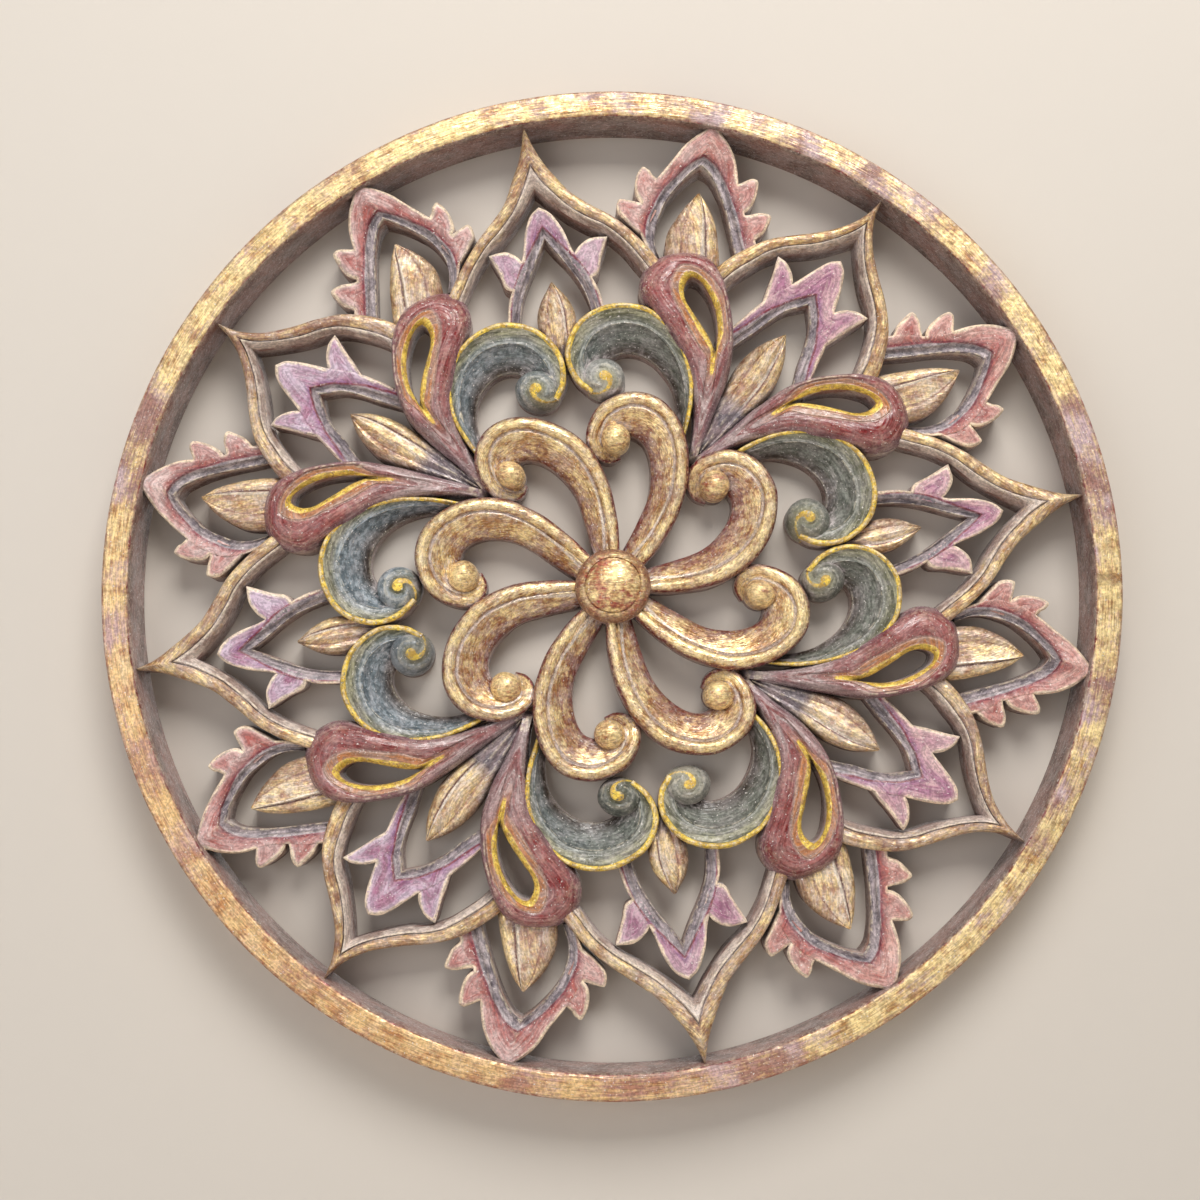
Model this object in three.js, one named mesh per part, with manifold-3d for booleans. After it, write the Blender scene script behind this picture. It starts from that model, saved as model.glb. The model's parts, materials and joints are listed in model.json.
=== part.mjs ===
import * as THREE from 'three';
import { mergeVertices } from 'three/addons/utils/BufferGeometryUtils.js';
import Module from 'manifold-3d';

// A round pierced wall panel, carved and painted, cut from one plank.
// A plain ring carries a rosette: a whirl of eight scrolls round a boss, four pairs of
// green scrolls, eight drops, and a border of arches and lobed leaves.
// The carving is drawn in millimetres with x to the right, y up and z out of the wall.
// The back of the plank lies at z = 0 and the ring's centre is the origin.

const ringRadius = 200;
const ringInnerRadius = 189.2;
const plankThickness = 25;
const ringEdge = 1.2;
const ringSegments = 48;
// Every arm is drawn a little deeper than the plank, and the back is then planed flat.
const planedOff = 2;
const sliver = 0.045;

// The rosette leans a little to the left, and the plank has shrunk across its grain.
const rosetteLean = THREE.MathUtils.degToRad(10.6);
const acrossGrain = 0.993;

// The carver set out the copies by eye. Each table says how far the carving strays from its regular
// place, at sixteen angles clockwise from the upright arch, on four circles round the boss.
const strayAngles = 16;
const strayCircles = [12, 60, 108, 160];
const strayClockwise = [
  [0, 0, 0, 0, 0, 0, 0, 0, 0, 0, 0, 0, 0, 0, 0, 0],
  [0.5, -0.4, -1.7, -0.8, 0.8, 0.7, -0.3, -1.2, -1.4, -0.9, -0.6, 0.5, 2, 3.6, 3.2, 1.2],
  [-2.1, 0.1, -0.8, -1.5, -1.4, -3.5, -6.1, -6.2, -2.1, 1.8, 2.4, 0.3, 1.3, 1.8, -0.8, -3.6],
  [-0.6, -0.2, 1.1, 4.3, -1.5, -7.8, -7.6, -3.1, -1, -0.7, 5.1, 4.9, 1.8, 0, -1.6, 5.1],
];
const strayOutward = [
  [0, 0, 0, 0, 0, 0, 0, 0, 0, 0, 0, 0, 0, 0, 0, 0],
  [0.6, 0.1, -1.4, -2.3, -2, -0.5, 0.3, -0.2, -0.5, -1.3, -1.8, -1.6, -1.4, 0.2, 1.2, 1],
  [-0.2, -0.6, -1, -1.3, -1.4, -0.7, -0.8, -1.5, -3.1, -2.4, -1.1, -0.4, -0.5, 1.4, 1.3, 1.2],
  [-0.1, 0.8, 0.4, 0.3, 1.5, 1.2, -0.8, 0.3, -0.1, -0.8, 0, 2.8, 1.4, 3.2, 0.5, 0.9],
];
// Near the ring the carving strays along it only.
const strayOutwardEnds = [172, 186];

const fullTurn = 2 * Math.PI;
const quarterTurn = Math.PI / 2;
const eighthTurn = Math.PI / 4;
const quarters = 4;
const whirlScrolls = 8;

const bossRadius = 14.8;
const bossHeight = 23.5;
const bossCollarHeight = 18.5;
const bossEdge = 1.5;
const bossDome = [[0.7, 21.5], [0.36, bossHeight]];
const bossSegments = 14;

const ballRadius = 6.1;
const ballHeight = 20.5;
const ballCentre = [-32.6, 50];
const ballSegments = 6;

const knobRadius = 8.6;
const knobHeight = 19.2;
const knobCentre = [12.6, 84];
const knobSegments = 7;

// A domed top, as shares of its radius: how far out and how far up.
const domeProfile = [[1, 0], [0.8, 0.6], [0.36, 0.93]];

// A share of the crest's height at each share of the way across, from the first edge to the second.
const scrollProfile = [[0, 0.88], [0.15, 1], [0.34, 0.85], [1, 0.62]];
const troughProfile = [[0, 0.93], [0.12, 1], [0.5, 0.74], [1, 0.46]];
const archProfile = [[0, 0.92], [0.5, 1], [1, 0.7]];
const leafProfile = [[0, 1], [0.62, 0.76], [1, 0.82]];
const budProfile = [[0, 0.78], [0.5, 1], [1, 0.78]];
const dropProfile = [[0, 0.66], [0.26, 0.97], [0.74, 0.97], [1, 0.66]];

// Each arm is drawn as rows across it: a point on its first edge, the point facing it on the
// second edge, and the height of its crest there.
const whirlScroll = [
  [5, 12, -5, 12, 16], [6.9, 28, -6.4, 28, 17.5], [5, 45, -9.5, 41.5, 19.3], [-3.5, 62, -15, 50, 20.4],
  [-17, 72, -20.8, 54.6, 20.5], [-32, 72.8, -26.5, 55.5, 20], [-43, 64, -30.3, 53.6, 19],
  [-46, 51, -32.2, 51.5, 18], [-40.5, 38.8, -32.6, 49, 16.8],
];

const greenScroll = [
  [39.5, 50, 36.5, 53, 14], [47.3, 69, 40, 67, 17], [48.3, 84, 39, 78, 18.7], [43, 100.5, 34.5, 86.7, 19.6],
  [30.5, 111, 28.3, 92, 19.6], [15, 112, 22, 93.3, 18.8], [3.5, 103, 17.2, 92, 17.6],
  [0.4, 91.5, 14.3, 88.8, 16.6], [5, 79.6, 12.8, 84.8, 15.5],
];

const drop = [
  [41, 44, 44.5, 42.5, 14], [45.5, 61, 54.5, 60.5, 16], [46.8, 77, 63.8, 77, 19], [44, 91, 68, 93, 21.3],
  [38, 103.2, 68.4, 105.5, 22.4], [33.6, 115.5, 65, 120.5, 21.9],
  [37, 124.8, 56.5, 128.1, 19.5], [44.5, 129, 48, 129.5, 17],
];

// The pierced eye of the drop, from its point round its blunt end, and the dished lip round it.
const dropEye = [
  [59.6, 87.5], [62, 97.5], [61.2, 107.5], [57.5, 115.8], [53, 116.5], [51, 110.5], [54.2, 100.8],
];
const dropEyeCentre = [57, 105];
const dropEyeLip = 1.55;
const dropEyeFloor = 16.5;

// Arches and inner leaves are drawn from the tip down one side, and mirrored.
const archOnAxis = [
  [0, 190.6, 0, 165.3, 22.8], [4, 178.5, 3.2, 161.3, 21], [10.5, 166.8, 8.3, 155.6, 19.8],
  [20.5, 154.7, 16.5, 148.2, 19], [33, 143.2, 27.5, 138.6, 18.2],
  [44.5, 125, 38.5, 119.5, 16],
];

const archOnDiagonal = [
  [0, 190.6, 0, 172.2, 22.8], [4, 177.3, 5, 165.8, 21], [11, 168, 11, 159.3, 19.8],
  [22.2, 158, 19.7, 151.2, 19], [31, 147.5, 25.5, 141.2, 18], [38.6, 127.5, 30.6, 123.5, 16.3],
];

const leafOnAxis = [
  [0, 156.9, 0, 144.2, 18.5], [5.5, 152.5, 2.6, 139.8, 17.5], [9.2, 142.5, 5.5, 135, 16.6],
  [11.3, 134.5, 7.3, 132, 16], [17, 140.8, 8.6, 129.6, 16.5], [25.2, 140.6, 9.6, 127.6, 16.5],
  [19.8, 129.5, 10.8, 124.5, 15.3], [19, 104, 14, 106, 12],
];

const leafOnDiagonal = [
  [0, 160.6, 0, 139.6, 18.5], [4.6, 156.8, 3, 136.3, 17.5], [8.2, 147.8, 5.4, 133.2, 16.8],
  [10, 142.3, 6.8, 130.8, 16], [15.5, 148, 8, 128, 16.5], [21.2, 148.2, 8.8, 125.6, 16.5],
  [17, 133, 10, 121.5, 15.2], [20, 111, 14.5, 109, 12.3],
];

// The border leaf stands between two arches, with two lobes on each side of its tip.
const borderLeaf = [
  [39.5, 129.5, 43.8, 128.5, 14.5], [37, 139, 43, 135.5, 15], [31, 148.5, 44.2, 139.8, 15.5],
  [33, 154.6, 45.4, 142.6, 16], [38.3, 152, 46.6, 145, 16], [40.5, 162, 48, 147.3, 16.3],
  [44.4, 165.4, 49.4, 149.2, 16.5], [47.2, 158.6, 51, 151, 16.8], [57, 166.5, 57.5, 156.3, 18.3],
  [67, 174, 62.5, 159.2, 20.3], [75.2, 176.6, 66.5, 161.2, 22.5], [80, 167, 69.6, 157.4, 20.3],
  [80.6, 155.5, 71.5, 152.3, 18.3], [79, 149.3, 72.3, 148.5, 17.5], [86.8, 152.6, 72.7, 145.8, 16.5],
  [82.3, 138.2, 73.3, 139, 16], [90, 137.4, 73.6, 135.5, 16],
  [83, 121, 74, 119.5, 14.5],
];

const dropBud = [
  [45, 126, 67, 118, 15], [50, 139.5, 68.2, 132, 16.6], [57.5, 147.3, 66.8, 145, 17],
  [63.2, 151, 64.4, 150.4, 16.5],
];

const axisBud = [
  [-3, 91, 3, 91, 13], [-7, 109, 7, 109, 15.5], [-5, 120, 5, 120, 16], [-0.6, 126.3, 0.6, 126.3, 15],
];

const diagonalBud = [
  [-1.6, 66, 1.6, 66, 12.5], [-9, 102, 9, 102, 14.5], [-7, 114, 7, 114, 16], [-0.6, 124.8, 0.6, 124.8, 15],
];

const wasm = await Module();
wasm.setup();

// The signed volume tells whether the faces of a closed shape look outward.
function signedVolume(positions, triangles) {
  let volume = 0;
  const corners = [new THREE.Vector3(), new THREE.Vector3(), new THREE.Vector3()];
  for (let i = 0; i < triangles.length; i += 3) {
    corners.forEach((corner, j) => corner.fromArray(positions, 3 * triangles[i + j]));
    volume += corners[0].dot(corners[1].cross(corners[2])) / 6;
  }
  return volume;
}

function closedSolid(positions, triangles) {
  const outward = signedVolume(positions, triangles) > 0;
  const order = outward ? triangles : triangles.slice().reverse();
  return new wasm.Manifold(new wasm.Mesh({
    numProp: 3,
    vertProperties: new Float32Array(positions),
    triVerts: new Uint32Array(order),
  }));
}

// A smooth curve through the values round one circle.
function roundCircle(values, step) {
  const start = Math.floor(step);
  const share = step - start;
  const [a, b, c, d] = [-1, 0, 1, 2].map((i) => values[(start + i + strayAngles) % strayAngles]);
  return b + (share / 2) * (c - a + share * (2 * a - 5 * b + 4 * c - d + share * (3 * (b - c) + d - a)));
}

function strayAt(table, radius, step) {
  let stray = roundCircle(table[0], step);
  for (let i = 1; i < strayCircles.length; i += 1) {
    const share = THREE.MathUtils.smoothstep(radius, strayCircles[i - 1], strayCircles[i]);
    stray = THREE.MathUtils.lerp(stray, roundCircle(table[i], step), share);
  }
  return stray;
}

// Where a drawn point lies on the panel: mirrored or not, turned about the boss and leaned,
// strayed a little by hand, then shrunk with the whole plank.
function onPanel(x, y, turn, side) {
  const boss = new THREE.Vector2(0, 0);
  const point = new THREE.Vector2(x * side, y).rotateAround(boss, rosetteLean - turn);
  const radius = point.length();
  const clockwise = (Math.atan2(point.x, point.y) + rosetteLean + fullTurn) % fullTurn;
  const step = (clockwise / fullTurn) * strayAngles;
  const held = 1 - THREE.MathUtils.smoothstep(radius, ...strayOutwardEnds);
  point.rotateAround(boss, -strayAt(strayClockwise, radius, step) / radius);
  point.setLength(radius + held * strayAt(strayOutward, radius, step));
  return [point.x, point.y * acrossGrain];
}

// The whole of an arm that is drawn down one side only.
function mirrored(half) {
  const flipped = half.slice(1).map(([x, y, facingX, facingY, crest]) => [-x, y, -facingX, facingY, crest]);
  return [...flipped.reverse(), ...half];
}

// A skin over rows of the same length, each row a closed loop, with a fan over both ends.
function loft(rows) {
  const size = rows[0].length;
  const triangles = [];
  for (let i = 0; i < rows.length - 1; i += 1) {
    for (let j = 0; j < size; j += 1) {
      const a = i * size + j;
      const b = i * size + ((j + 1) % size);
      triangles.push(a, b, b + size, a, b + size, a + size);
    }
  }
  const last = (rows.length - 1) * size;
  for (let j = 1; j < size - 1; j += 1) {
    triangles.push(0, j + 1, j);
    triangles.push(last, last + j, last + j + 1);
  }
  return closedSolid(rows.flat(2), triangles);
}

function carvedArm(drawn, profile, turn, side) {
  const rows = drawn.map(([x, y, facingX, facingY, crest]) => {
    const face = profile.map(([across, share]) => {
      const faceX = THREE.MathUtils.lerp(x, facingX, across);
      const faceY = THREE.MathUtils.lerp(y, facingY, across);
      return [...onPanel(faceX, faceY, turn, side), crest * share];
    });
    const backStart = [...onPanel(x, y, turn, side), -planedOff];
    const backEnd = [...onPanel(facingX, facingY, turn, side), -planedOff];
    return [backStart, ...face, backEnd];
  });
  return loft(rows);
}

// A turned shape standing on the back: pairs of [radius, height] from its foot to its top.
function turnedSolid(centre, profile, segments, turn) {
  const rows = profile.map(([radius, height]) => {
    const row = [];
    for (let i = 0; i < segments; i += 1) {
      const angle = (i / segments) * fullTurn;
      const x = centre[0] + radius * Math.cos(angle);
      const y = centre[1] + radius * Math.sin(angle);
      row.push([...onPanel(x, y, turn, 1), height]);
    }
    return row;
  });
  return loft(rows);
}

function domedColumn(centre, radius, height, segments, turn) {
  const shoulder = height - radius;
  const dome = domeProfile.map(([across, up]) => [radius * across, shoulder + radius * up]);
  return turnedSolid(centre, [[radius, -planedOff], ...dome], segments, turn);
}

function eyeRow(scale, height, turn, side) {
  return dropEye.map(([x, y]) => {
    const wideX = dropEyeCentre[0] + (x - dropEyeCentre[0]) * scale;
    const wideY = dropEyeCentre[1] + (y - dropEyeCentre[1]) * scale;
    return [...onPanel(wideX, wideY, turn, side), height];
  });
}

function piercedDrop(turn, side) {
  const body = carvedArm(drop, dropProfile, turn, side);
  const eye = loft([
    eyeRow(1, -2 * planedOff, turn, side),
    eyeRow(1, dropEyeFloor, turn, side),
    eyeRow(dropEyeLip, plankThickness, turn, side),
  ]);
  return body.subtract(eye);
}

function ring() {
  const outer = turnedSolid([0, 0], [
    [ringRadius, -planedOff], [ringRadius, plankThickness - ringEdge],
    [ringRadius - ringEdge, plankThickness],
  ], ringSegments, rosetteLean);
  const opening = turnedSolid([0, 0], [
    [ringInnerRadius, -2 * planedOff], [ringInnerRadius, plankThickness - ringEdge],
    [ringInnerRadius + ringEdge, plankThickness], [ringInnerRadius + ringEdge, plankThickness + planedOff],
  ], ringSegments, rosetteLean);
  return outer.subtract(opening);
}

function boss() {
  return turnedSolid([0, 0], [
    [bossRadius, -planedOff], [bossRadius, bossCollarHeight - bossEdge],
    [bossRadius - bossEdge, bossCollarHeight],
    ...bossDome.map(([across, height]) => [bossRadius * across, height]),
  ], bossSegments, 0);
}

const solids = [ring(), boss()];

for (let i = 0; i < whirlScrolls; i += 1) {
  const turn = i * eighthTurn;
  solids.push(carvedArm(whirlScroll, scrollProfile, turn, 1));
  solids.push(domedColumn(ballCentre, ballRadius, ballHeight, ballSegments, turn));
}

for (let i = 0; i < quarters; i += 1) {
  const axis = i * quarterTurn;
  const diagonal = axis + eighthTurn;
  solids.push(carvedArm(mirrored(archOnAxis), archProfile, axis, 1));
  solids.push(carvedArm(mirrored(leafOnAxis), leafProfile, axis, 1));
  solids.push(carvedArm(axisBud, budProfile, axis, 1));
  solids.push(carvedArm(mirrored(archOnDiagonal), archProfile, diagonal, 1));
  solids.push(carvedArm(mirrored(leafOnDiagonal), leafProfile, diagonal, 1));
  solids.push(carvedArm(diagonalBud, budProfile, diagonal, 1));
  for (const side of [1, -1]) {
    const knob = [knobCentre[0] * side, knobCentre[1]];
    solids.push(carvedArm(greenScroll, troughProfile, axis, side));
    solids.push(domedColumn(knob, knobRadius, knobHeight, knobSegments, axis));
    solids.push(piercedDrop(axis, side));
    solids.push(carvedArm(borderLeaf, leafProfile, axis, side));
    solids.push(carvedArm(dropBud, budProfile, axis, side));
  }
}

// Everything behind the plane of the wall.
function behindWall() {
  const reach = 2 * ringRadius;
  const corners = [[-reach, -reach], [reach, -reach], [reach, reach], [-reach, reach]];
  const square = (height) => corners.map(([x, y]) => [x, y, height]);
  return loft([square(-3 * planedOff), square(0)]);
}

const joined = solids.reduce((whole, next) => whole.add(next));
// Slivers where the arms run into each other are smoothed away.
const carving = joined.subtract(behindWall()).asOriginal().simplify(sliver).getMesh();

const geometry = new THREE.BufferGeometry();
geometry.setAttribute('position', new THREE.BufferAttribute(carving.vertProperties, carving.numProp));
geometry.setIndex(new THREE.BufferAttribute(carving.triVerts, 1));
// The panel hangs upright: its front looks along -Y and the rosette's up is +Z.
geometry.rotateX(quarterTurn);

const paintedWood = new THREE.MeshStandardMaterial({ color: '#a5854f', roughness: 0.6, metalness: 0.1 });
paintedWood.name = 'painted_wood';

const panel = new THREE.Mesh(mergeVertices(geometry), paintedWood);
panel.name = 'carved_panel';

const group = new THREE.Group();
group.name = 'carved_wall_panel';
group.add(panel);

export default group;
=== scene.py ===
# %% [markdown]
# # A carved and painted wall panel
# The panel is one round plank, pierced and carved by hand, then painted and rubbed with gold.
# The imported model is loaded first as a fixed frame, so everything below is made in its place,
# in metres, with the panel's back on the wall and its front looking along -Y.

# %% Load the frame
import json
import math
from collections import namedtuple
import bpy
import numpy as np
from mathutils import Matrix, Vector, noise
from mathutils.bvhtree import BVHTree
from mathutils.kdtree import KDTree

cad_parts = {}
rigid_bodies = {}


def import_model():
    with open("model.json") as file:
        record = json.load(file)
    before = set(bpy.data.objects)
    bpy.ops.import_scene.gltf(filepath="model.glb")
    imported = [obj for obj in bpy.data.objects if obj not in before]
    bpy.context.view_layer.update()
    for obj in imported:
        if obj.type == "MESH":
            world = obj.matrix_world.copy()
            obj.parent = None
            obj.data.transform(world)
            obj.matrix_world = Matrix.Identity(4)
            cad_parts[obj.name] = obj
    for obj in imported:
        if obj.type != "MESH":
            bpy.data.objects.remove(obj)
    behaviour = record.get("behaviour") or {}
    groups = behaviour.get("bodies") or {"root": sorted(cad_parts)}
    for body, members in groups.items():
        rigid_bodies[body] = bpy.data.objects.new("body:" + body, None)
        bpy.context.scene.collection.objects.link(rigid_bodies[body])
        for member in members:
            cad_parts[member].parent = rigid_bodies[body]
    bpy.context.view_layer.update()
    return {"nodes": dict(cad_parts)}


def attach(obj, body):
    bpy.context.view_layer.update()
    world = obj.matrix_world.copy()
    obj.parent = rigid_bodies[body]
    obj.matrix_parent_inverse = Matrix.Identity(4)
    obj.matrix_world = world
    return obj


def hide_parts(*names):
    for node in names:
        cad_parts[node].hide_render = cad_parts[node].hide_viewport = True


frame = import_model()
rng = np.random.default_rng(7)
print("frame nodes:", list(frame["nodes"]))

# %% [markdown]
# ## Camera, wall and light
# The panel is seen nearly square on, from a little below its middle. The camera is only tilted
# up a little, so the ring stays nearly round and no lens shift is needed. The pale wall stands
# right behind the panel; its back is clear and lets a lamp's light through, so the panel's own
# back can be looked at too.

# %% Camera
camera = bpy.data.objects.new("camera", bpy.data.cameras.new("camera"))
camera.data.lens = 54
camera.data.sensor_width = 36
camera.location = (-0.0047, -0.726, -0.0633)
camera.rotation_euler = (math.radians(90 + 4.68), 0, 0)
bpy.context.scene.collection.objects.link(camera)
bpy.context.scene.camera = camera
bpy.context.scene.view_settings.view_transform = "Standard"
print("camera at", tuple(camera.location))


# %% Node helpers
def linear(red, green, blue):
    """A colour given as it looks on a screen, 0 to 255, as the light values that Blender mixes."""
    share = np.array([red, green, blue]) / 255
    light = np.where(share <= 0.04045, share / 12.92, ((share + 0.055) / 1.055) ** 2.4)
    return (*light.tolist(), 1.0)


def put(tree, kind, sockets=None, **settings):
    """Adds a node, sets it up, and links or fills its input sockets."""
    node = tree.nodes.new(kind)
    for name, value in settings.items():
        setattr(node, name, value)
    for name, value in (sockets or {}).items():
        if isinstance(value, bpy.types.NodeSocket):
            tree.links.new(value, node.inputs[name])
        else:
            node.inputs[name].default_value = value
    return node


def tree_of(*values):
    """The node tree that the first socket among some values belongs to."""
    return next(value.id_data for value in values if isinstance(value, bpy.types.NodeSocket))


def calc(operation, first, second=0.0, clamp=False):
    """A Math node; times, plus, minus and total are its short forms."""
    tree = tree_of(first, second)
    return put(tree, "ShaderNodeMath", {0: first, 1: second}, operation=operation, use_clamp=clamp).outputs[0]


def times(first, second, clamp=False):
    return calc("MULTIPLY", first, second, clamp)


def plus(first, second):
    return calc("ADD", first, second)


def minus(first, second, clamp=False):
    return calc("SUBTRACT", first, second, clamp)


def total(*parts):
    """The sum of pairs: a value times its weight."""
    value = times(*parts[0])
    for part in parts[1:]:
        value = plus(value, times(*part))
    return value


def ramp(value, low, high, out_low=0.0, out_high=1.0):
    """A soft step: out_low where the value is at or under low, out_high from high on."""
    sockets = {"Value": value, "From Min": low, "From Max": high, "To Min": out_low, "To Max": out_high}
    return put(tree_of(value), "ShaderNodeMapRange", sockets, interpolation_type="SMOOTHSTEP").outputs[0]


def mix(share, first, second, blend="MIX"):
    """Two colours, with the second one's share. A colour is a socket or three values as on a screen."""
    tree = tree_of(share, first, second)
    node = put(tree, "ShaderNodeMix", data_type="RGBA", blend_type=blend)
    for socket, value in ((node.inputs[0], share), (node.inputs[6], first), (node.inputs[7], second)):
        if isinstance(value, bpy.types.NodeSocket):
            tree.links.new(value, socket)
        else:
            socket.default_value = linear(*value) if isinstance(value, tuple) else value
    return node.outputs[2]


def speckle(where, scale, detail, rough=0.6):
    """Soft noise between 0 and 1 that lies near a half; detail adds finer and finer spots."""
    sockets = {"Vector": where, "Scale": scale, "Detail": detail, "Roughness": rough}
    return put(tree_of(where), "ShaderNodeTexNoise", sockets).outputs[0]


# %% Wall, floor and light
def plain_sheet(name, corners, colour, clear_back):
    """One large face with a matt paint; a clear back lets the panel be seen from behind."""
    mesh = bpy.data.meshes.new(name)
    mesh.from_pydata(corners, [], [(0, 1, 2, 3)])
    sheet = bpy.data.objects.new(name, mesh)
    bpy.context.scene.collection.objects.link(sheet)
    material = bpy.data.materials.new(name)
    material.use_nodes = True
    tree = material.node_tree
    shader = tree.nodes["Principled BSDF"]
    shader.inputs["Base Color"].default_value = colour
    shader.inputs["Roughness"].default_value = 0.9
    if clear_back:
        clear = put(tree, "ShaderNodeBsdfTransparent")
        facing = put(tree, "ShaderNodeNewGeometry")
        both = put(tree, "ShaderNodeMixShader", {0: facing.outputs["Backfacing"],
                                                 1: shader.outputs[0], 2: clear.outputs[0]})
        tree.links.new(both.outputs[0], tree.nodes["Material Output"].inputs["Surface"])
    mesh.materials.append(material)
    return sheet


ROOM, FLOOR, BEHIND = 3.0, -0.5, 0.0006
wall_corners = [(-ROOM, BEHIND, FLOOR), (ROOM, BEHIND, FLOOR), (ROOM, BEHIND, ROOM), (-ROOM, BEHIND, ROOM)]
wall = plain_sheet("pale_wall", wall_corners, linear(208, 200, 190), True)
wall.visible_shadow = False
floor_corners = [(-ROOM, -ROOM, FLOOR), (ROOM, -ROOM, FLOOR), (ROOM, ROOM, FLOOR), (-ROOM, ROOM, FLOOR)]
floor = plain_sheet("pale_floor", floor_corners, linear(208, 202, 194), False)


def soft_light(name, place, size, power, colour):
    """A square lamp that looks at the panel's middle."""
    lamp = bpy.data.objects.new(name, bpy.data.lights.new(name, "AREA"))
    lamp.data.size = size
    lamp.data.energy = power
    lamp.data.color = colour
    lamp.location = place
    lamp.rotation_euler = (-Vector(place)).to_track_quat("-Z", "Y").to_euler()
    bpy.context.scene.collection.objects.link(lamp)


soft_light("window", (0.15, -1.0, 0.95), 0.7, 18.0, (1.0, 0.98, 0.95))
soft_light("fill", (-0.9, -1.3, -0.25), 1.2, 8.0, (0.96, 0.97, 1.0))
soft_light("behind", (0.3, 1.7, 0.4), 1.2, 12.0, (1.0, 0.98, 0.95))
world = bpy.data.worlds.new("studio")
bpy.context.scene.world = world
world.use_nodes = True
world.node_tree.nodes["Background"].inputs["Color"].default_value = (0.9, 0.94, 1.0, 1)
world.node_tree.nodes["Background"].inputs["Strength"].default_value = 0.32
print("stage:", wall.name, floor.name)

# %% [markdown]
# ## How the carving is drawn
# A carver draws each arm by its two edges and works the face between them to a section: a rim,
# a groove, a hollow. The arms are drawn in millimetres, x right, y up and z out of the wall,
# and set out round the boss. The whole rosette leans a little and the plank has shrunk across
# its grain. The copies were set out by eye, so two tables say how far the carving strays from
# its regular place at sixteen angles on four circles. Every point goes through one function.

# %% Placing a drawn point
LEAN = math.radians(10.6)
ACROSS_GRAIN = 0.993
PLANK = 25.0
RING_OUT, RING_IN = 200.0, 189.2
STRAY_ANGLES = 16
STRAY_CIRCLES = [12, 60, 108, 160]
STRAY_ENDS_FROM, STRAY_ENDS_AT = 172, 186
STRAY_CLOCKWISE = np.array([
    [0] * STRAY_ANGLES,
    [0.5, -0.4, -1.7, -0.8, 0.8, 0.7, -0.3, -1.2, -1.4, -0.9, -0.6, 0.5, 2, 3.6, 3.2, 1.2],
    [-2.1, 0.1, -0.8, -1.5, -1.4, -3.5, -6.1, -6.2, -2.1, 1.8, 2.4, 0.3, 1.3, 1.8, -0.8, -3.6],
    [-0.6, -0.2, 1.1, 4.3, -1.5, -7.8, -7.6, -3.1, -1, -0.7, 5.1, 4.9, 1.8, 0, -1.6, 5.1],
])
STRAY_OUTWARD = np.array([
    [0] * STRAY_ANGLES,
    [0.6, 0.1, -1.4, -2.3, -2, -0.5, 0.3, -0.2, -0.5, -1.3, -1.8, -1.6, -1.4, 0.2, 1.2, 1],
    [-0.2, -0.6, -1, -1.3, -1.4, -0.7, -0.8, -1.5, -3.1, -2.4, -1.1, -0.4, -0.5, 1.4, 1.3, 1.2],
    [-0.1, 0.8, 0.4, 0.3, 1.5, 1.2, -0.8, 0.3, -0.1, -0.8, 0, 2.8, 1.4, 3.2, 0.5, 0.9],
])


def ease(value, start, finish):
    """A soft step from 0 at the start to 1 at the finish."""
    share = np.clip((value - start) / (finish - start), 0, 1)
    return share * share * (3 - 2 * share)


def stray(table, radius, step):
    """How far the hand-set carving strays from its regular place: a smooth curve round each circle."""
    start = np.floor(step).astype(int)
    share = step - start
    a, b, c, d = (table[:, (start + i) % STRAY_ANGLES] for i in (-1, 0, 1, 2))
    around = b + share / 2 * (c - a + share * (2 * a - 5 * b + 4 * c - d + share * (3 * (b - c) + d - a)))
    strayed = around[0]
    for i in range(1, len(STRAY_CIRCLES)):
        strayed = strayed + (around[i] - strayed) * ease(radius, STRAY_CIRCLES[i - 1], STRAY_CIRCLES[i])
    return strayed


def on_panel(drawn, turn, side):
    """Where a drawn point lies on the panel, in metres: turned, mirrored or not, leaned and strayed."""
    radius = np.hypot(drawn[..., 0], drawn[..., 1])
    clockwise = np.arctan2(drawn[..., 0] * side, drawn[..., 1]) + turn
    step = clockwise / (2 * math.pi / STRAY_ANGLES)
    held = 1 - ease(radius, STRAY_ENDS_FROM, STRAY_ENDS_AT)
    clockwise = clockwise - LEAN + stray(STRAY_CLOCKWISE, radius, step) / np.maximum(radius, 1)
    radius = radius + held * stray(STRAY_OUTWARD, radius, step)
    across, up = radius * np.sin(clockwise), radius * np.cos(clockwise) * ACROSS_GRAIN
    return np.stack([across, -drawn[..., 2], up], -1) / 1000


# %% Smooth rows between the drawn ones
def smooth_rows(rows, count):
    """A smooth run through rows of numbers: a cubic between each two, spaced by how far apart they lie."""
    rows = np.asarray(rows, float)
    steps = np.sqrt(np.linalg.norm(np.diff(rows[:, :4], axis=0), axis=1))
    at = np.concatenate([[0], np.cumsum(steps)])
    slope = np.gradient(rows, at, axis=0)
    run = np.linspace(0, at[-1], count)
    place = np.clip(np.searchsorted(at, run, side="right") - 1, 0, len(at) - 2)
    gap = (at[place + 1] - at[place])[:, None]
    t = ((run - at[place])[:, None]) / gap
    return ((2 * t**3 - 3 * t**2 + 1) * rows[place] + (t**3 - 2 * t**2 + t) * gap * slope[place]
            + (3 * t**2 - 2 * t**3) * rows[place + 1] + (t**3 - t**2) * gap * slope[place + 1])


def with_crest(edges, crest):
    """Adds the crest's height, given at even steps along the arm, to each drawn row."""
    edges = np.asarray(edges, float)
    along = np.linspace(0, 1, len(edges))
    return np.column_stack([edges, np.interp(along, np.linspace(0, 1, len(crest)), crest)])


# %% Closed shells
FACE, WALL, BACK = 0, 1, 2


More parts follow.
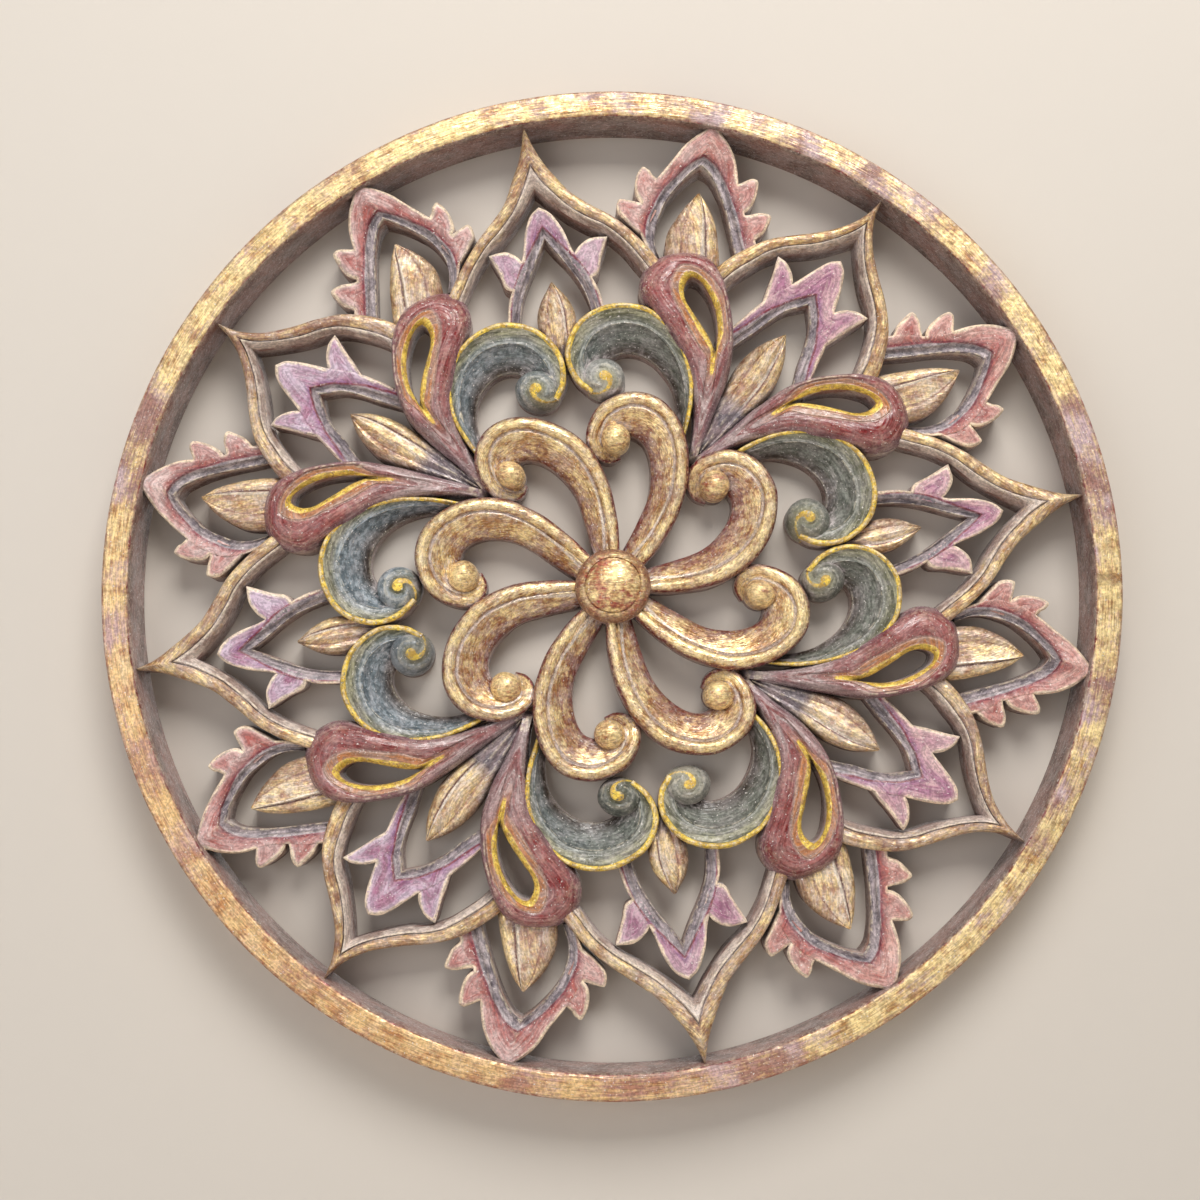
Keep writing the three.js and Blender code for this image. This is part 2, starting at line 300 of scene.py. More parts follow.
def closed_shell(rows, carve, zones, closed=False):
    """Skins rows of points into a closed shell. zones says what each strip between columns is."""
    count, size = rows.shape[:2]
    faces, kinds = [], []
    for i in range(count if closed else count - 1):
        a, b = i * size, ((i + 1) % count) * size
        for j in range(size):
            k = (j + 1) % size
            faces.append((a + j, a + k, b + k, b + j))
            kinds.append(zones[j])
    if not closed:
        faces.append(tuple(range(size))[::-1])
        faces.append(tuple(range((count - 1) * size, count * size)))
        kinds += [WALL, WALL]
    return rows.reshape(-1, 3), faces, kinds, carve.reshape(-1, 3)


WALL_ROWS = 2


def with_sides(top, notes):
    """Adds straight sides that run from a face's first and last column down to the wall."""
    left, right, left_notes, right_notes = [], [], [], []
    for share in np.linspace(0, 1, WALL_ROWS + 1)[:-1]:
        for edge, edge_notes, column in ((left, left_notes, 0), (right, right_notes, -1)):
            foot = top[:, column].copy()
            foot[:, 2] *= share
            edge.append(foot)
            edge_notes.append(notes[:, column])
    rows = np.stack([*left, *np.moveaxis(top, 1, 0), *right[::-1]], 1)
    carve = np.stack([*left_notes, *np.moveaxis(notes, 1, 0), *right_notes[::-1]], 1)
    zones = [WALL] * WALL_ROWS + [FACE] * (top.shape[1] - 1) + [WALL] * WALL_ROWS + [BACK]
    return rows, carve, zones


def arm(rows, section, stalk=0.0):
    """An arm from its rows: section gives millimetres from the first edge and the height there.
    The notes along the arm count from the end of its stalk."""
    first, second, crest = rows[:, 0:2], rows[:, 2:4], rows[:, 4]
    width = np.maximum(np.linalg.norm(second - first, axis=1), 0.05)
    away, height = section(width, crest, np.linspace(0, 1, len(rows)))
    face = first[:, None] + (second - first)[:, None] * (away / width[:, None])[..., None]
    top = np.concatenate([face, height[..., None]], -1)
    mid = np.cumsum(np.concatenate([[0], np.linalg.norm(np.diff((first + second) / 2, axis=0), axis=1)]))
    notes = np.stack([np.broadcast_to(mid[:, None] - stalk, away.shape), away, width[:, None] - away], -1)
    return closed_shell(*with_sides(top, notes))


def turned(centre, profile, segments, face_from, notes=None):
    """A turned shape: pairs of radius and height from its foot to its top."""
    angle = np.arange(segments) / segments * 2 * math.pi
    profile = np.asarray(profile, float)
    ring = np.stack([np.cos(angle), np.sin(angle)], -1)
    plan = centre + profile[:, 0][:, None, None] * ring[None]
    rows = np.concatenate([plan, np.broadcast_to(profile[:, 1][:, None, None], (*plan.shape[:2], 1))], -1)
    if notes is None:
        carve = np.stack([np.broadcast_to(angle[None], plan.shape[:2]) * profile[:, 0].max(),
                          np.broadcast_to(profile[:, 0][:, None], plan.shape[:2]),
                          np.broadcast_to(profile[:, 1][:, None], plan.shape[:2])], -1)
    else:
        carve = notes(rows)
    points, faces, kinds, carve = closed_shell(rows, carve, [WALL] * segments)
    kinds = [FACE if i // segments >= face_from else WALL for i in range(len(kinds))]
    kinds[-2], kinds[-1] = BACK, FACE
    return points, faces, kinds, carve


# %% [markdown]
# ## The shells of every motif
# Each motif is skinned once from its drawn rows and then copied round the boss. Every corner
# of the skin carries a note called carve: how far along the arm it lies and how far it is from
# the arm's edges. The paints below follow these notes, as a painter follows the carved lines.

# %% Sections across the arms
def across_section(points):
    """Makes a section from rows of: shares of a fixed rim, shares of the rest, share of the crest."""
    points = np.asarray(points, float)

    def section(width, crest, along, rim=None):
        rim = np.zeros_like(width) if rim is None else rim
        away = points[:, 0] * rim[:, None] + points[:, 1] * (width - rim)[:, None]
        return away, points[:, 2] * crest[:, None]

    return section


SCROLL = across_section([
    (0, 0, .8), (.05, 0, .875), (.15, 0, .935), (.34, 0, .98), (.54, 0, 1), (.74, 0, .99), (.9, 0, .965),
    (1, 0, .925), (1, .035, .885), (1, .07, .9), (1, .12, .915), (1, .22, .895), (1, .36, .85), (1, .5, .8),
    (1, .66, .75), (1, .8, .7), (1, .91, .655), (1, .97, .62), (1, 1, .56)])


SCROLL_RIM, SCROLL_RIM_SHARE = 5.6, 0.37
SEAT_FROM, SEAT_AT, SEAT_HEIGHT, SEAT_STRENGTH = 0.72, 0.88, 0.94, 0.75


def scroll_section(width, crest, along):
    """The hollow runs out where the arm winds round its ball, and leaves a plain seat."""
    away, height = SCROLL(width, crest, along, np.minimum(SCROLL_RIM_SHARE * width, SCROLL_RIM))
    seat = SEAT_HEIGHT * crest[:, None]
    return away, height + (seat - height) * SEAT_STRENGTH * ease(along, SEAT_FROM, SEAT_AT)[:, None]


TROUGH = across_section([
    (0, 0, .9), (.12, 0, .96), (.3, 0, .99), (.55, 0, 1), (.8, 0, .99), (1, 0, .965), (1, .05, .935),
    (1, .14, .9), (1, .24, .865), (1, .31, .85), (1, .335, .858), (1, .36, .835), (1, .39, .795),
    (1, .48, .72), (1, .6, .645), (1, .72, .58), (1, .84, .525), (1, .93, .49), (1, .98, .47), (1, 1, .43)])


TROUGH_RIM, TROUGH_RIM_SHARE = 2.3, 0.3


def trough_section(width, crest, along):
    """A narrow round rim beside a trough that falls away from it."""
    return TROUGH(width, crest, along, np.minimum(TROUGH_RIM_SHARE * width, TROUGH_RIM))


arch_section = across_section([
    (0, 0, .86), (0, .03, .925), (0, .08, .965), (0, .17, .99), (0, .3, 1), (0, .42, .995), (0, .52, .98),
    (0, .59, .96), (0, .635, .93), (0, .66, .905), (0, .685, .925), (0, .73, .935), (0, .79, .915),
    (0, .85, .875), (0, .91, .82), (0, .96, .765), (0, 1, .7)])

side_bud_section = across_section([
    (0, 0, .74), (0, .03, .83), (0, .07, .885), (0, .14, .93), (0, .2, .935), (0, .26, .915), (0, .36, .93),
    (0, .48, .955), (0, .58, .965), (0, .66, .985), (0, .69, 1), (0, .715, .965), (0, .735, .92),
    (0, .78, .93), (0, .85, .925), (0, .92, .885), (0, .97, .82), (0, 1, .74)])

mid_bud_section = across_section([
    (0, 0, .72), (0, .04, .82), (0, .1, .89), (0, .18, .925), (0, .25, .91), (0, .29, .895), (0, .36, .935),
    (0, .44, .98), (0, .5, 1), (0, .56, .98), (0, .64, .935), (0, .71, .895), (0, .75, .91), (0, .82, .925),
    (0, .9, .89), (0, .96, .82), (0, 1, .72)])

# %% Drawn rows: whirl scroll, green scroll
whirl_rows = with_crest([
    (5, 12, -5, 12), (6.8, 26, -6.2, 26), (6.2, 41, -8.2, 38.5), (.5, 57, -12.8, 47.5),
    (-11, 69, -18.8, 53.6), (-26, 73.8, -24.5, 55.8), (-38.5, 69, -29, 54.5), (-45.4, 58, -31.6, 52.4),
    (-44.8, 47.5, -32.5, 51), (-40.3, 40.4, -32.8, 49.8), (-34.2, 39, -32.4, 49.2), (-29.2, 41.2, -32, 49.2),
    (-26.8, 45.4, -31.6, 49.6)],
    [16, 17, 18.4, 19.6, 20.4, 20.5, 20, 19, 17.8, 15.8, 12.5, 9, 6])
whirl_scroll = arm(smooth_rows(whirl_rows, 70), scroll_section)

green_rows = with_crest([
    (39.5, 50, 36.5, 53), (46.8, 67.5, 39.8, 66), (48.5, 82, 39.5, 76), (45, 97, 36, 84.5),
    (35.5, 108.7, 30.5, 90.5), (21, 112.8, 24.5, 93.2), (7.5, 107.8, 19, 93), (.4, 95.5, 15.5, 90.5),
    (1.8, 84.5, 13.5, 87), (6.5, 78, 12.6, 84)], [14, 16.5, 18.5, 19.5, 19.5, 18.5, 17, 15.5])
green_scroll = arm(smooth_rows(green_rows, 62), trough_section)
print("scroll shells:", len(whirl_scroll[1]), len(green_scroll[1]), "faces")

# %% Boss, balls and knobs
BALL, BALL_R, BALL_TOP = np.array([-32.6, 50]), 6.1, 20.5
KNOB, KNOB_R, KNOB_TOP = np.array([12.6, 84]), 8.6, 19.2

boss = turned(np.zeros(2), [
    (14.8, 0), (14.8, 9), (14.8, 16.2), (14.6, 17.2), (14.1, 18.1), (13.2, 19.1), (12.2, 19.9), (11.2, 20.5),
    (10.85, 20.15), (10.5, 20.85), (9.6, 21.35), (8.2, 22), (6.5, 22.7), (4.6, 23.15), (2.4, 23.45),
    (.6, 23.5)], segments=72, face_from=2)


def dome(radius, top, rings):
    """The profile of a ball on a round foot, for turned."""
    bend = np.linspace(0, 0.97, rings) * math.pi / 2
    return [(radius, 0), (radius, (top - radius) * .5),
            *zip(radius * np.cos(bend), top - radius + radius * np.sin(bend))]


SPIRAL_FROM, SPIRAL_TURNS = 185, 165
SPIRAL_OUT, SPIRAL_IN = 9.6, 0.6
CUT_AT, CUT_WIDTH, CUT_DEPTH = 1.0, 0.7, 0.9


def spiral_reach(points):
    """How far a point of the knob lies from the yellow line that winds onto its crown."""
    x, y = points[..., 0] - KNOB[0], points[..., 1] - KNOB[1]
    turn = np.linspace(0, 1, 60)
    angle = math.radians(SPIRAL_FROM) + turn * math.radians(SPIRAL_TURNS)
    reach = SPIRAL_OUT * (1 - turn) ** 0.8 + SPIRAL_IN * turn
    line = np.stack([np.cos(angle) * reach, np.sin(angle) * reach], -1)
    apart = np.linalg.norm(np.stack([x, y], -1)[..., None, :] - line, axis=-1)
    return (apart - np.interp(turn, [0, .5, .8, 1], [.4, .6, 1.2, 2.2])).min(-1)


def knob_notes(rows):
    """Notes that put the knob's yellow line and its trough paint beside the spiral."""
    away = np.maximum(spiral_reach(rows) + 2.4, 0.4)
    return np.stack([np.zeros(away.shape), away, np.full(away.shape, 9.0)], -1)


ball = turned(BALL, dome(BALL_R, BALL_TOP, rings=9), segments=32, face_from=1)
knob = turned(KNOB, dome(KNOB_R, KNOB_TOP, rings=14), segments=44, face_from=1, notes=knob_notes)
knob_cut = np.exp(-((spiral_reach(knob[0]) - CUT_AT) / CUT_WIDTH) ** 2)
knob[0][:, 2] -= np.where(knob[0][:, 2] > KNOB_TOP - KNOB_R, CUT_DEPTH * knob_cut, 0)
print("boss, ball and knob:", len(boss[1]), len(ball[1]), len(knob[1]), "faces")

# %% The drop with its pierced eye
drop_rows = np.array([
    (41, 44, 44.5, 42.5), (45, 58, 52.5, 57.5), (46.5, 72, 60.8, 71.5), (46, 84, 66.3, 84),
    (43, 93, 68.2, 95), (38.5, 102.5, 68.3, 105), (34.6, 110.5, 67.3, 115), (33.3, 117, 64, 123),
    (36, 123.6, 58, 127.4), (41, 127.6, 51, 129.3), (44.5, 129.2, 47.5, 129.5)])
eye_points = np.array([
    (59.6, 86.5), (61.8, 95), (62, 103), (60.4, 110.4), (57.5, 115.8), (54.4, 117.3), (51.3, 113.8),
    (51, 109.5), (53.2, 103.6), (57.2, 94.4), (59.6, 86.5)])
DROP_AROUND = 96
DROP_FOOT, DROP_LENGTH = 43, 86
EYE_STEPS, BLUNT_END, OUTLINE_STEPS = 240, 120, 200
EYE_GATHER, TAIL_REACH = 1.9, 1.6


def even_run(points, count, power):
    """Points along a line at even shares of its length, gathered towards its start by power."""
    length = np.concatenate([[0], np.cumsum(np.linalg.norm(np.diff(points, axis=0), axis=1))])
    at = np.linspace(0, 1, count) ** power * length[-1]
    return np.stack([np.interp(at, length, points[:, k]) for k in (0, 1)], -1)


def smooth_line(points, count):
    """A smooth run through points, by the same way as for rows."""
    pairs = np.column_stack([points, points, np.zeros(len(points))])
    return smooth_rows(pairs, count)[:, :2]


def pierced_drop():
    """Lines run from the eye out to the drop's own outline, paired from the tail round to the blunt end."""
    smooth = smooth_rows(np.column_stack([drop_rows, np.zeros(len(drop_rows))]), OUTLINE_STEPS)
    base, top = (drop_rows[0, :2] + drop_rows[0, 2:]) / 2, (drop_rows[-1, :2] + drop_rows[-1, 2:]) / 2
    half = DROP_AROUND // 2
    eye = smooth_line(eye_points, EYE_STEPS)
    sides = []
    for outline, inner in ((smooth[:, 2:4], eye[:BLUNT_END + 1]), (smooth[:, 0:2], eye[BLUNT_END:][::-1])):
        outer = even_run(np.vstack([base, outline, top]), half + 1, 1.0)
        sides.append((even_run(inner, half + 1, EYE_GATHER), outer))
    inner = np.vstack([sides[0][0][:-1], sides[1][0][::-1][:-1]])
    outer = np.vstack([sides[0][1][:-1], sides[1][1][::-1][:-1]])
    share = np.array([0, .05, .12, .19, .22, .25, .3, .36, .4, .425,
                      .45, .49, .56, .64, .72, .8, .87, .93, .97, 1])
    lift = np.array([.8, .86, .905, .935, .938, .935, .948, .962, .968, .955,
                     .968, .985, 1, 1, .985, .955, .905, .83, .75, .66])
    reach = np.linalg.norm(outer - inner, axis=1)
    tail = np.exp(-(np.linalg.norm(inner - eye[0], axis=1) / TAIL_REACH) ** 2)
    rim = np.minimum(2.5 + 7 * tail, 0.3 * reach)
    lined = np.minimum(rim + 3.4 + 9 * tail, 0.62 * reach)
    away = np.stack([np.interp(share, [0, .2, .425, 1], [0, a, b, c]) for a, b, c in zip(rim, lined, reach)])
    plan = inner[:, None] + (outer - inner)[:, None] * (away / reach[:, None])[..., None]
    crest = np.interp(plan[..., 1], [43, 61, 77, 92, 104, 118, 126, 129.5],
                      [14, 16, 19, 21.3, 22.4, 21.9, 19.5, 17])
    top_face = np.concatenate([plan, (crest * lift)[..., None]], -1)
    rim_line = np.vstack([base, smooth[:, 2:4], smooth[::-1, 0:2]])
    to_edge = np.linalg.norm(plan[:, :, None] - rim_line, axis=-1).min(-1)
    notes = np.stack([(plan[..., 1] - DROP_FOOT) / DROP_LENGTH, np.broadcast_to(share, crest.shape),
                      to_edge], -1)
    return closed_shell(*with_sides(top_face, notes), closed=True)


drop = pierced_drop()
print("drop:", len(drop[1]), "faces")


# %% Arches and leaves, drawn down one side and mirrored
def both_sides(rows, count):
    """Smooths the drawn side alone, so the tip stays sharp, and mirrors it."""
    half = smooth_rows(rows, count)
    flipped = half[1:].copy()
    flipped[:, [0, 2]] *= -1
    return np.vstack([flipped[::-1], half])


arch_crest = [22.8, 21, 19.8, 19, 18.5, 17.5, 16]
axis_arch_rows = with_crest([
    (0, 190.6, 0, 165.3), (1.9, 183.5, 1.5, 163.6), (4.6, 176.8, 3.5, 161), (8.8, 169.5, 6.5, 157.6),
    (14.6, 160.7, 11, 153), (22, 153.6, 17.5, 147.4), (29.4, 147, 24, 142.6), (36, 139, 30.5, 135),
    (41, 131, 35.5, 125.5), (45, 124, 39, 119)], arch_crest)
diagonal_arch_rows = with_crest([
    (0, 190.6, 0, 172.2), (1.8, 182.1, 2.6, 168.8), (7, 172.6, 8.1, 162.2), (14.7, 164.6, 13.6, 156.5),
    (22.2, 158, 19.7, 151.2), (28.3, 151.3, 23.8, 145.4), (32.8, 144.2, 26.7, 138.4),
    (37.2, 133.9, 29.7, 130.1), (39.5, 125.5, 31.5, 121)], arch_crest)
axis_arch = arm(both_sides(axis_arch_rows, 30), arch_section)
diagonal_arch = arm(both_sides(diagonal_arch_rows, 28), arch_section)


# %% Leaves with lobes
def inside(points, outline):
    """Which points lie inside a closed outline, by counting the edges that a line from each one crosses."""
    x, y = points[:, 0][:, None], points[:, 1][:, None]
    x1, y1 = outline[:, 0], outline[:, 1]
    x2, y2 = np.roll(x1, -1), np.roll(y1, -1)
    span = np.where(np.abs(y2 - y1) < 1e-9, 1e-9, y2 - y1)
    crosses = ((y1 > y) != (y2 > y)) & (x < (x2 - x1) * (y - y1) / span + x1)
    return crosses.sum(1) % 2 == 1


def leaf_edge_reach(body, lobes):
    """A search for how far a point is from the leaf's open edge, lobes included."""
    outlines = [np.vstack([part[:, 0:2], part[::-1, 2:4]]) for part in (body, *lobes)]
    edges = [body[:, 0:2]] + [np.vstack([lobe[:, 0:2], lobe[::-1, 2:4]]) for lobe in lobes]
    kept = []
    for i, edge in enumerate(edges):
        fine = np.vstack([edge[:-1] + (edge[1:] - edge[:-1]) * t for t in np.linspace(0, 1, 6)[:-1]])
        hidden = np.zeros(len(fine), bool)
        for j, outline in enumerate(outlines):
            if j != i:
                hidden |= inside(fine, outline)
        kept.append(fine[~hidden])
    points = np.vstack(kept)
    tree = KDTree(len(points))
    for i, (x, y) in enumerate(points):
        tree.insert((x, y, 0), i)
    tree.balance()
    return lambda plan: np.array([tree.find((x, y, 0))[2] for x, y in plan])


LEAF = np.array([
    (0, 0), (.03, 0), (.07, 0), (.12, 0), (.2, 0), (.34, 0), (.5, 0), (.68, 0), (.84, 0), (.95, 0), (1, 0),
    (1, .08), (1, .2), (1, .38), (1, .58), (1, .76), (1, .9), (1, 1)])
LEAF_LIFT = np.array([1, 1, 1, 1, .99, .975, .955, .935, .915, .9, .885, .82, .775, .75, .755, .785, .8, .76])


LEAF_GROOVE, LEAF_GROOVE_SHARE = 4.6, 0.38


def leaf_section(width, crest, along):
    """A broad face and a groove along the inner edge."""
    groove = np.minimum(LEAF_GROOVE_SHARE * width, LEAF_GROOVE)
    away = LEAF[:, 0] * (width - groove)[:, None] + LEAF[:, 1] * groove[:, None]
    return away, LEAF_LIFT * crest[:, None]


LOBE = across_section([(0, s, 1.0) for s in (0, .04, .09, .15, .25, .38, .5, .62, .75, .85, .91, .96, 1)])


FAR_FROM_GROOVE = 20.0
LOBE_BELOW, LOBE_FALL, LOBE_FALL_MOST = 0.06, 0.45, 4.0
ROUND_WIDTH, ROUND_DEPTH = 1.3, 1.1
LOBE_TOP_FROM, LEAF_TOP_FROM = 10, 9


def leaf(body, lobes):
    """The leaf's body and its lobes as shells, rounded down at the open edge that they share."""
    reach = leaf_edge_reach(body, lobes)
    shells = []
    for part, section in [(body, leaf_section)] + [(lobe, LOBE) for lobe in lobes]:
        points, faces, kinds, carve = arm(part, section)
        points, carve = points.copy(), carve.copy()
        edge = reach(points[:, :2])
        if part is not body:
            carve[:, 2] = FAR_FROM_GROOVE
            apart = np.linalg.norm(points[:, None, :2] - body[None, :, :2], axis=-1)
            crest = body[apart.argmin(1), 4] - LOBE_BELOW
            under = inside(points[:, :2], np.vstack([body[:, 0:2], body[::-1, 2:4]]))
            crest -= np.where(under, np.minimum(LOBE_FALL * apart.min(1), LOBE_FALL_MOST), 0)
            on_top = points[:, 2] > LOBE_TOP_FROM
            points[:, 2] = np.where(on_top, crest, np.minimum(points[:, 2], crest * 0.6))
        carve[:, 1] = edge
        rounding = ROUND_DEPTH * np.clip(1 - edge / ROUND_WIDTH, 0, 1) ** 2
        points[:, 2] -= np.where(points[:, 2] > LEAF_TOP_FROM, rounding, 0)
        shells.append((points, faces, kinds, carve))
    return shells


leaf_crest = [18.5, 17.5, 17, 16, 15, 13.5, 12]


def lobe(points, side=1):
    """The smooth rows of one lobe, mirrored or not."""
    rows = smooth_rows(with_crest(points, [16, 16]), 12)
    rows[:, [0, 2]] *= side
    return rows


axis_leaf_rows = with_crest([
    (0, 156.9, 0, 144.2), (4, 154.3, 1.6, 141.3), (8, 147, 4.2, 137), (10.2, 138.6, 6.8, 132.8),
    (13, 131.5, 9.3, 128.3), (17.3, 122, 11.6, 122.5), (18.8, 112, 13.4, 114.5), (19.5, 104, 14, 106)],
    leaf_crest)
axis_lobe = [(9, 133.5, 14, 124.5), (12.8, 138.3, 18.8, 126.8), (18, 141, 21, 132.3),
             (25.2, 140.6, 24.6, 139.2)]
axis_leaf = leaf(both_sides(axis_leaf_rows, 25), [lobe(axis_lobe), lobe(axis_lobe, side=-1)])

diagonal_leaf_rows = with_crest([
    (0, 160.6, 0, 139.6), (3.5, 158.2, 2, 137.4), (6.2, 153.2, 4, 135.2), (8.4, 147.2, 5.8, 132.7),
    (11, 139.8, 7.6, 128.8), (15, 131.5, 9.2, 124.3), (17.3, 124, 10.8, 119.3), (19.4, 116.5, 13.2, 113.5),
    (22, 108, 16, 106)], leaf_crest)
diagonal_lobe = [(8, 140.5, 15.2, 130), (12.5, 145.8, 17.3, 136.3), (17, 148.3, 19, 142),
                 (21.2, 148.4, 20.8, 146.8)]
diagonal_leaf = leaf(both_sides(diagonal_leaf_rows, 26), [lobe(diagonal_lobe), lobe(diagonal_lobe, side=-1)])

border_crest = [22.5, 20, 18.5, 17.5, 16.5, 15.5, 14.5]
border_left = with_crest([
    (75.2, 176.6, 66.5, 161), (68.6, 174.3, 62.6, 159.4), (62.6, 171.3, 59, 157.3), (56.7, 166.2, 55, 154.5),
    (48.5, 159.5, 50.5, 150.5), (42.5, 153, 47, 145.5), (38.5, 146, 44.5, 141), (38, 139, 43.2, 135.5),
    (39.5, 130, 43.8, 129)], border_crest)
border_right = with_crest([
    (75.2, 176.6, 66.5, 161), (78, 171.5, 68.3, 159.5), (79.9, 167.2, 69.8, 157.3), (80.9, 161, 71.2, 153),
    (80.4, 154, 72.3, 148), (79.3, 148, 72.9, 143), (80, 140, 73.3, 138), (82, 131, 73.6, 130),
    (83, 121, 74, 119.5)], border_crest)
border_lobes = [
    [(43.5, 147.5, 52, 156.5), (39, 153.5, 48.4, 160), (39.2, 158, 47, 161.8), (41.2, 162.9, 46.4, 163.6),
     (43.7, 165.5, 44.7, 165.4)],
    [(38.5, 138, 46, 147.5), (33.5, 144.5, 41, 151), (30.7, 149.5, 37.8, 152.8), (31.2, 153.2, 36, 153.6),
     (32.4, 154.8, 33.5, 154.7)],
    [(75.5, 152.5, 76.5, 138.5), (80, 151.6, 81.6, 140.5), (83, 152.3, 84.4, 143), (86.1, 152.8, 87.2, 148.2),
     (87.6, 152, 87.9, 150.8)],
    [(76.5, 139.5, 78, 124), (81.5, 138.8, 82.4, 128), (86.3, 139, 86.2, 130.5), (89.2, 138.2, 88.8, 134),
     (90.2, 137.4, 90.2, 136.2)]]
border_body = np.vstack([smooth_rows(border_left, 29)[::-1], smooth_rows(border_right, 29)[1:]])
border_leaf = leaf(border_body, [lobe(points) for points in border_lobes])
leaves = (axis_leaf, diagonal_leaf, border_leaf)
print("leaves:", [sum(len(part[1]) for part in shells) for shells in leaves], "faces")

# %% Buds
side_bud = arm(smooth_rows(with_crest([
    (45, 126, 67, 118), (48, 136.5, 68, 129), (52, 142, 68, 137.5), (57.5, 147.3, 66.6, 145.3),
    (63.2, 151, 64.4, 150.4)], [15, 16.5, 17, 17, 16.5]), 21), side_bud_section, stalk=-9.0)
axis_bud = arm(smooth_rows(with_crest([
    (-3, 91, 3, 91), (-6.6, 105, 6.6, 105), (-7.2, 113, 7.2, 113), (-5, 120, 5, 120),
    (-.6, 126.3, .6, 126.3)], [13, 15, 16, 16, 15]), 19), mid_bud_section, stalk=10.0)
diagonal_bud = arm(smooth_rows(with_crest([
    (-1.6, 66, 1.6, 66), (-5.6, 84, 5.6, 84), (-9, 102, 9, 102), (-7.8, 111.5, 7.8, 111.5),
    (-5, 118.5, 5, 118.5), (-.6, 124.8, .6, 124.8)], [12.5, 13, 14.5, 16, 16, 15]), 24), mid_bud_section,
    stalk=26.0)


# %% The plain ring
RING_STEPS = 216


def plain_ring():
    """The ring from its section. The notes run on down its outer side, so strokes follow it there too."""
    profile = np.array([
        (RING_OUT, 0), (RING_OUT, 8), (RING_OUT, 16), (RING_OUT, 23.6), (199.8, 24.35), (199.3, 24.8),
        (198.5, PLANK), (197, PLANK), (195, PLANK), (193, PLANK), (191.2, 24.95), (190.3, 24.75),
        (189.7, 24.3), (RING_IN, 23.4), (RING_IN, 16), (RING_IN, 8), (RING_IN, 0)])
    angle = np.arange(RING_STEPS) / RING_STEPS * 2 * math.pi
    ring = np.stack([np.cos(angle), np.sin(angle)], -1)[:, None]
    plan = ring * profile[None, :, 0:1]
    rows = np.concatenate([plan, np.broadcast_to(profile[None, :, 1:], (*plan.shape[:2], 1))], -1)
    down_side = np.where(profile[:, 0] >= RING_OUT, PLANK - profile[:, 1], 0)
    away = np.broadcast_to(RING_OUT - profile[:, 0] - down_side, rows.shape[:2])
    notes = np.stack([np.broadcast_to(angle[:, None] * RING_OUT, away.shape), away,
                      RING_OUT - RING_IN - away], -1)
    zones = [FACE] * 12 + [WALL] * 4 + [BACK]
    return closed_shell(rows, notes, zones, closed=True)


ring = plain_ring()
print("ring:", len(ring[1]), "faces")


# %% [markdown]
# ## One piece of wood
# The shells still run through each other, as drawn. Joining them with the Boolean modifier and
# its Manifold solver leaves one closed skin with nothing hidden inside, and it carries the carve
# notes over to the new corners. A voxel remesh would do it too, but it would blunt every arris.

# %% Copies round the boss
PAINTS = ["ring_gold", "whirl_gold", "boss_gold", "green_trough", "drop_maroon", "arch_gold",
          "mauve_leaf", "pink_leaf", "bud_gold", "side_wash_and_shade", "bare_back"]
materials = {name: bpy.data.materials.new(name) for name in PAINTS}
for material in materials.values():
    material.use_nodes = True
shell_box = bpy.data.collections.new("shells")
bpy.context.scene.collection.children.link(shell_box)


def place(shell, paint, turn=0.0, side=1, mood=None):
    """Sets one copy of a shell on the panel as a closed mesh that looks outward."""
    points, faces, kinds, carve = shell
    points = on_panel(points, turn, side)
    corners = np.array([(f[0], f[1], f[2]) for f in faces if len(f) == 4])
    others = np.array([(f[0], f[2], f[3]) for f in faces if len(f) == 4])
    volume = sum(np.einsum("ij,ij->i", points[t[:, 0]], np.cross(points[t[:, 1]], points[t[:, 2]])).sum()
                 for t in (corners, others))
    for face in (f for f in faces if len(f) != 4):
        for a, b in zip(face[1:-1], face[2:]):
            volume += points[face[0]] @ np.cross(points[a], points[b])
    mesh = bpy.data.meshes.new(paint)
    mesh.from_pydata(points.tolist(), [], faces if volume > 0 else [f[::-1] for f in faces])
    for name in (paint, "side_wash_and_shade", "bare_back"):
        mesh.materials.append(materials[name])
    mesh.polygons.foreach_set("material_index", kinds)
    order = np.empty(len(mesh.loops), np.int32)
    mesh.loops.foreach_get("vertex_index", order)
    mesh.attributes.new("carve", "FLOAT_VECTOR", "CORNER").data.foreach_set("vector", carve[order].ravel())
    mood = rng.random() if mood is None else mood
    mesh.attributes.new("mood", "FLOAT", "FACE").data.foreach_set("value", [mood] * len(faces))
    copy = bpy.data.objects.new(paint, mesh)
    shell_box.objects.link(copy)


place(ring, "ring_gold", LEAN)
place(boss, "boss_gold")
EIGHTH = math.pi / 4
for i in range(8):
    place(whirl_scroll, "whirl_gold", i * EIGHTH)
    place(ball, "boss_gold", i * EIGHTH)
for axis in (0, 2 * EIGHTH, 4 * EIGHTH, 6 * EIGHTH):
    place(axis_arch, "arch_gold", axis)
    place(diagonal_arch, "arch_gold", axis + EIGHTH)
    place(axis_bud, "bud_gold", axis)
    place(diagonal_bud, "bud_gold", axis + EIGHTH)
    for leaf_parts, turn in ((axis_leaf, axis), (diagonal_leaf, axis + EIGHTH)):
        mood = rng.random()
        for part in leaf_parts:
            place(part, "mauve_leaf", turn, mood=mood)
    for side in (1, -1):
        place(green_scroll, "green_trough", axis, side)
        place(knob, "green_trough", axis, side)
        place(drop, "drop_maroon", axis, side)
        place(side_bud, "bud_gold", axis, side)
        mood = rng.random()
        for part in border_leaf:
            place(part, "pink_leaf", axis, side, mood)


